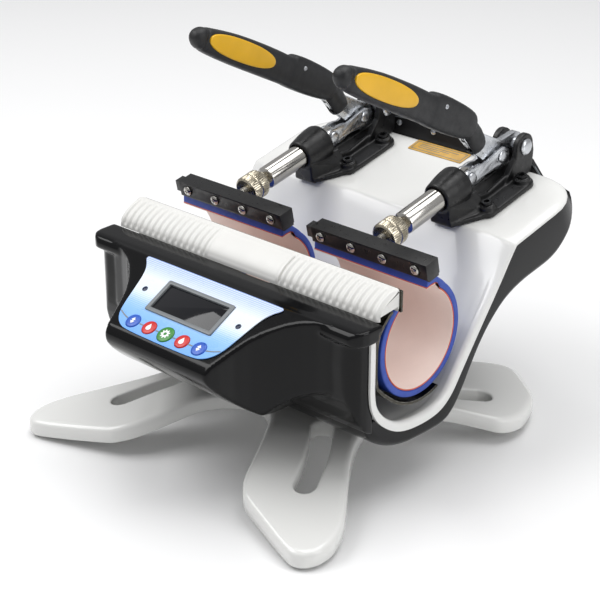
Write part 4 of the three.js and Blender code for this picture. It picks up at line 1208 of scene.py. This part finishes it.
def oval_ring(grow_u, grow_v, x):
    """Closed ring at x, a little squarer than an ellipse."""
    ring = []
    for k in range(56):
        c, s = math.cos(2 * math.pi * k / 56), math.sin(2 * math.pi * k / 56)
        ring.append((x, OVAL_U + (OVAL_LONG + grow_u) * math.copysign(abs(c) ** 0.86, c),
                     OVAL_V + (OVAL_TALL + grow_v) * math.copysign(abs(s) ** 0.86, s)))
    return ring


def screw_place(side):
    return Matrix.Translation((0, 49, 4)) @ Matrix.Rotation(math.radians(90 * side), 4, "Y")


def add_grips():
    """Two half shells over the strap: a short sleeve, a stepped block, a waist and a ringed knob."""
    table = [(-3.0, 6.0, -10.0, 1.0, 2.2), (-2.0, 7.2, -13.4, 6.0, 2.6), (2.0, 8.2, -15.0, 8.6, 3.2),
             (10, 8.5, -16.2, 10.2, 3.8), (24, 8.5, -17.0, 11.8, 4.2), (44, 8.5, -17.0, 13.0, 4.2),
             (56, 8.5, -16.6, 13.0, 4.0), (60, 8.4, -16.4, 12.3, 3.8), (62.5, 8.0, -16.1, 10.4, 3.4),
             (66, 7.8, -15.9, 10.0, 3.2), (80, 8.2, -15.8, 10.8, 3.0), (100, 8.5, -15.6, 11.4, 3.0),
             (130, 8.5, -15.3, 11.3, 3.0), (150, 8.4, -14.6, 10.0, 3.0), (166, 8.2, -13.6, 8.2, 2.8),
             (172.5, 8.0, -12.8, 7.4, 2.7), (174, 7.2, -11.9, 6.5, 2.6), (176, 7.2, -11.7, 6.3, 2.6),
             (177.5, 7.9, -11.9, 6.5, 2.6), (181, 7.4, -10.6, 5.4, 2.4), (184.4, 5.8, -7.8, 2.8, 2.2),
             (186, 3.4, -5.2, 0.4, 2.0)]
    dense = curve(table, 1)
    body = grip_part("grip_moulding_left", loft([grip_section(*row) for row in dense]))
    path = [(0, -22.5, -17.6), (0, -21.4, -16.9), (0, -18, -15.0), (0, -10, -10.6), (0, 0, -6.2),
            (0, 14, -3.0)]
    radii = [(5.2, 7.4), (6.6, 9.4), (7.2, 10.6), (7.4, 11.0), (7.4, 10.6), (6.4, 8.0)]
    sleeve = grip_part("sleeve", tube(path, radii, 36))
    carve(body, sleeve, operation="UNION")
    cutters = []
    for side in (1, -1):
        seat = loft([oval_ring(grow, grow, side * (GRIP_HALF + x))
                     for grow, x in ((0.4, -2.0), (0.4, -0.2), (1.4, 1.5))])
        dot = moved(turned([(2.3, 6.6), (2.3, 12)], 24), screw_place(side))
        cutters += [grip_part("seat", seat), grip_part("dot", dot)]
    cutters.append(clamp_part("tang_room", prism_x(capsule((45, 54), (38, 60.4), 9.4, 9.2), -3.3, 3.3)))
    carve(body, *cutters)
    both("grip_moulding", body, "grip_black", "lever", ["grip"], sharp=45)
    crown = [(0.0, 6.9), (0.0, 8.7), (-0.25, 9.05), (-0.8, 9.25), (-2.6, 9.4), (-5.5, 9.5), (-8.6, 9.55)]
    rings = [oval_ring(d * 1.6, d, side * x) for side, run in ((-1, crown[::-1]), (1, crown)) for d, x in run]
    both("grip_oval", grip_part("grip_oval_left", loft(rings)), "grip_yellow", "lever",
         ["grip_inset"], sharp=45)
    head = turned([(2.1, 7.0), (2.1, 8.3), (1.7, 8.7), (0.9, 8.8), (0.8, 8.2), (0.2, 8.2)], 24)
    heads = [moved(head, screw_place(side)) for side in (1, -1)]
    both("grip_screw", grip_part("grip_screw_left", *heads), "galvanised", "lever")


def add_floor():
    floor = solid("floor", block(-9000, 9000, -9000, 9000, -132.6, -132.05))
    material = bpy.data.materials.new("floor")
    material.use_nodes = True
    shader = material.node_tree.nodes["Principled BSDF"]
    shader.inputs["Base Color"].default_value = (0.93, 0.93, 0.93, 1)
    shader.inputs["Roughness"].default_value = 0.3
    floor.data.materials.append(material)


for step in (add_camera, add_studio, make_finishes, label_finish, add_floor, add_stand, add_tray,
             add_lower_shell, add_rear_hood, add_mains, add_amber_plate, add_housing, add_panel,
             add_ribbed_cover, add_wraps, add_cradles, add_clamp_castings, add_plungers, add_nuts,
             add_bars, add_links, add_levers, add_grips):
    step()
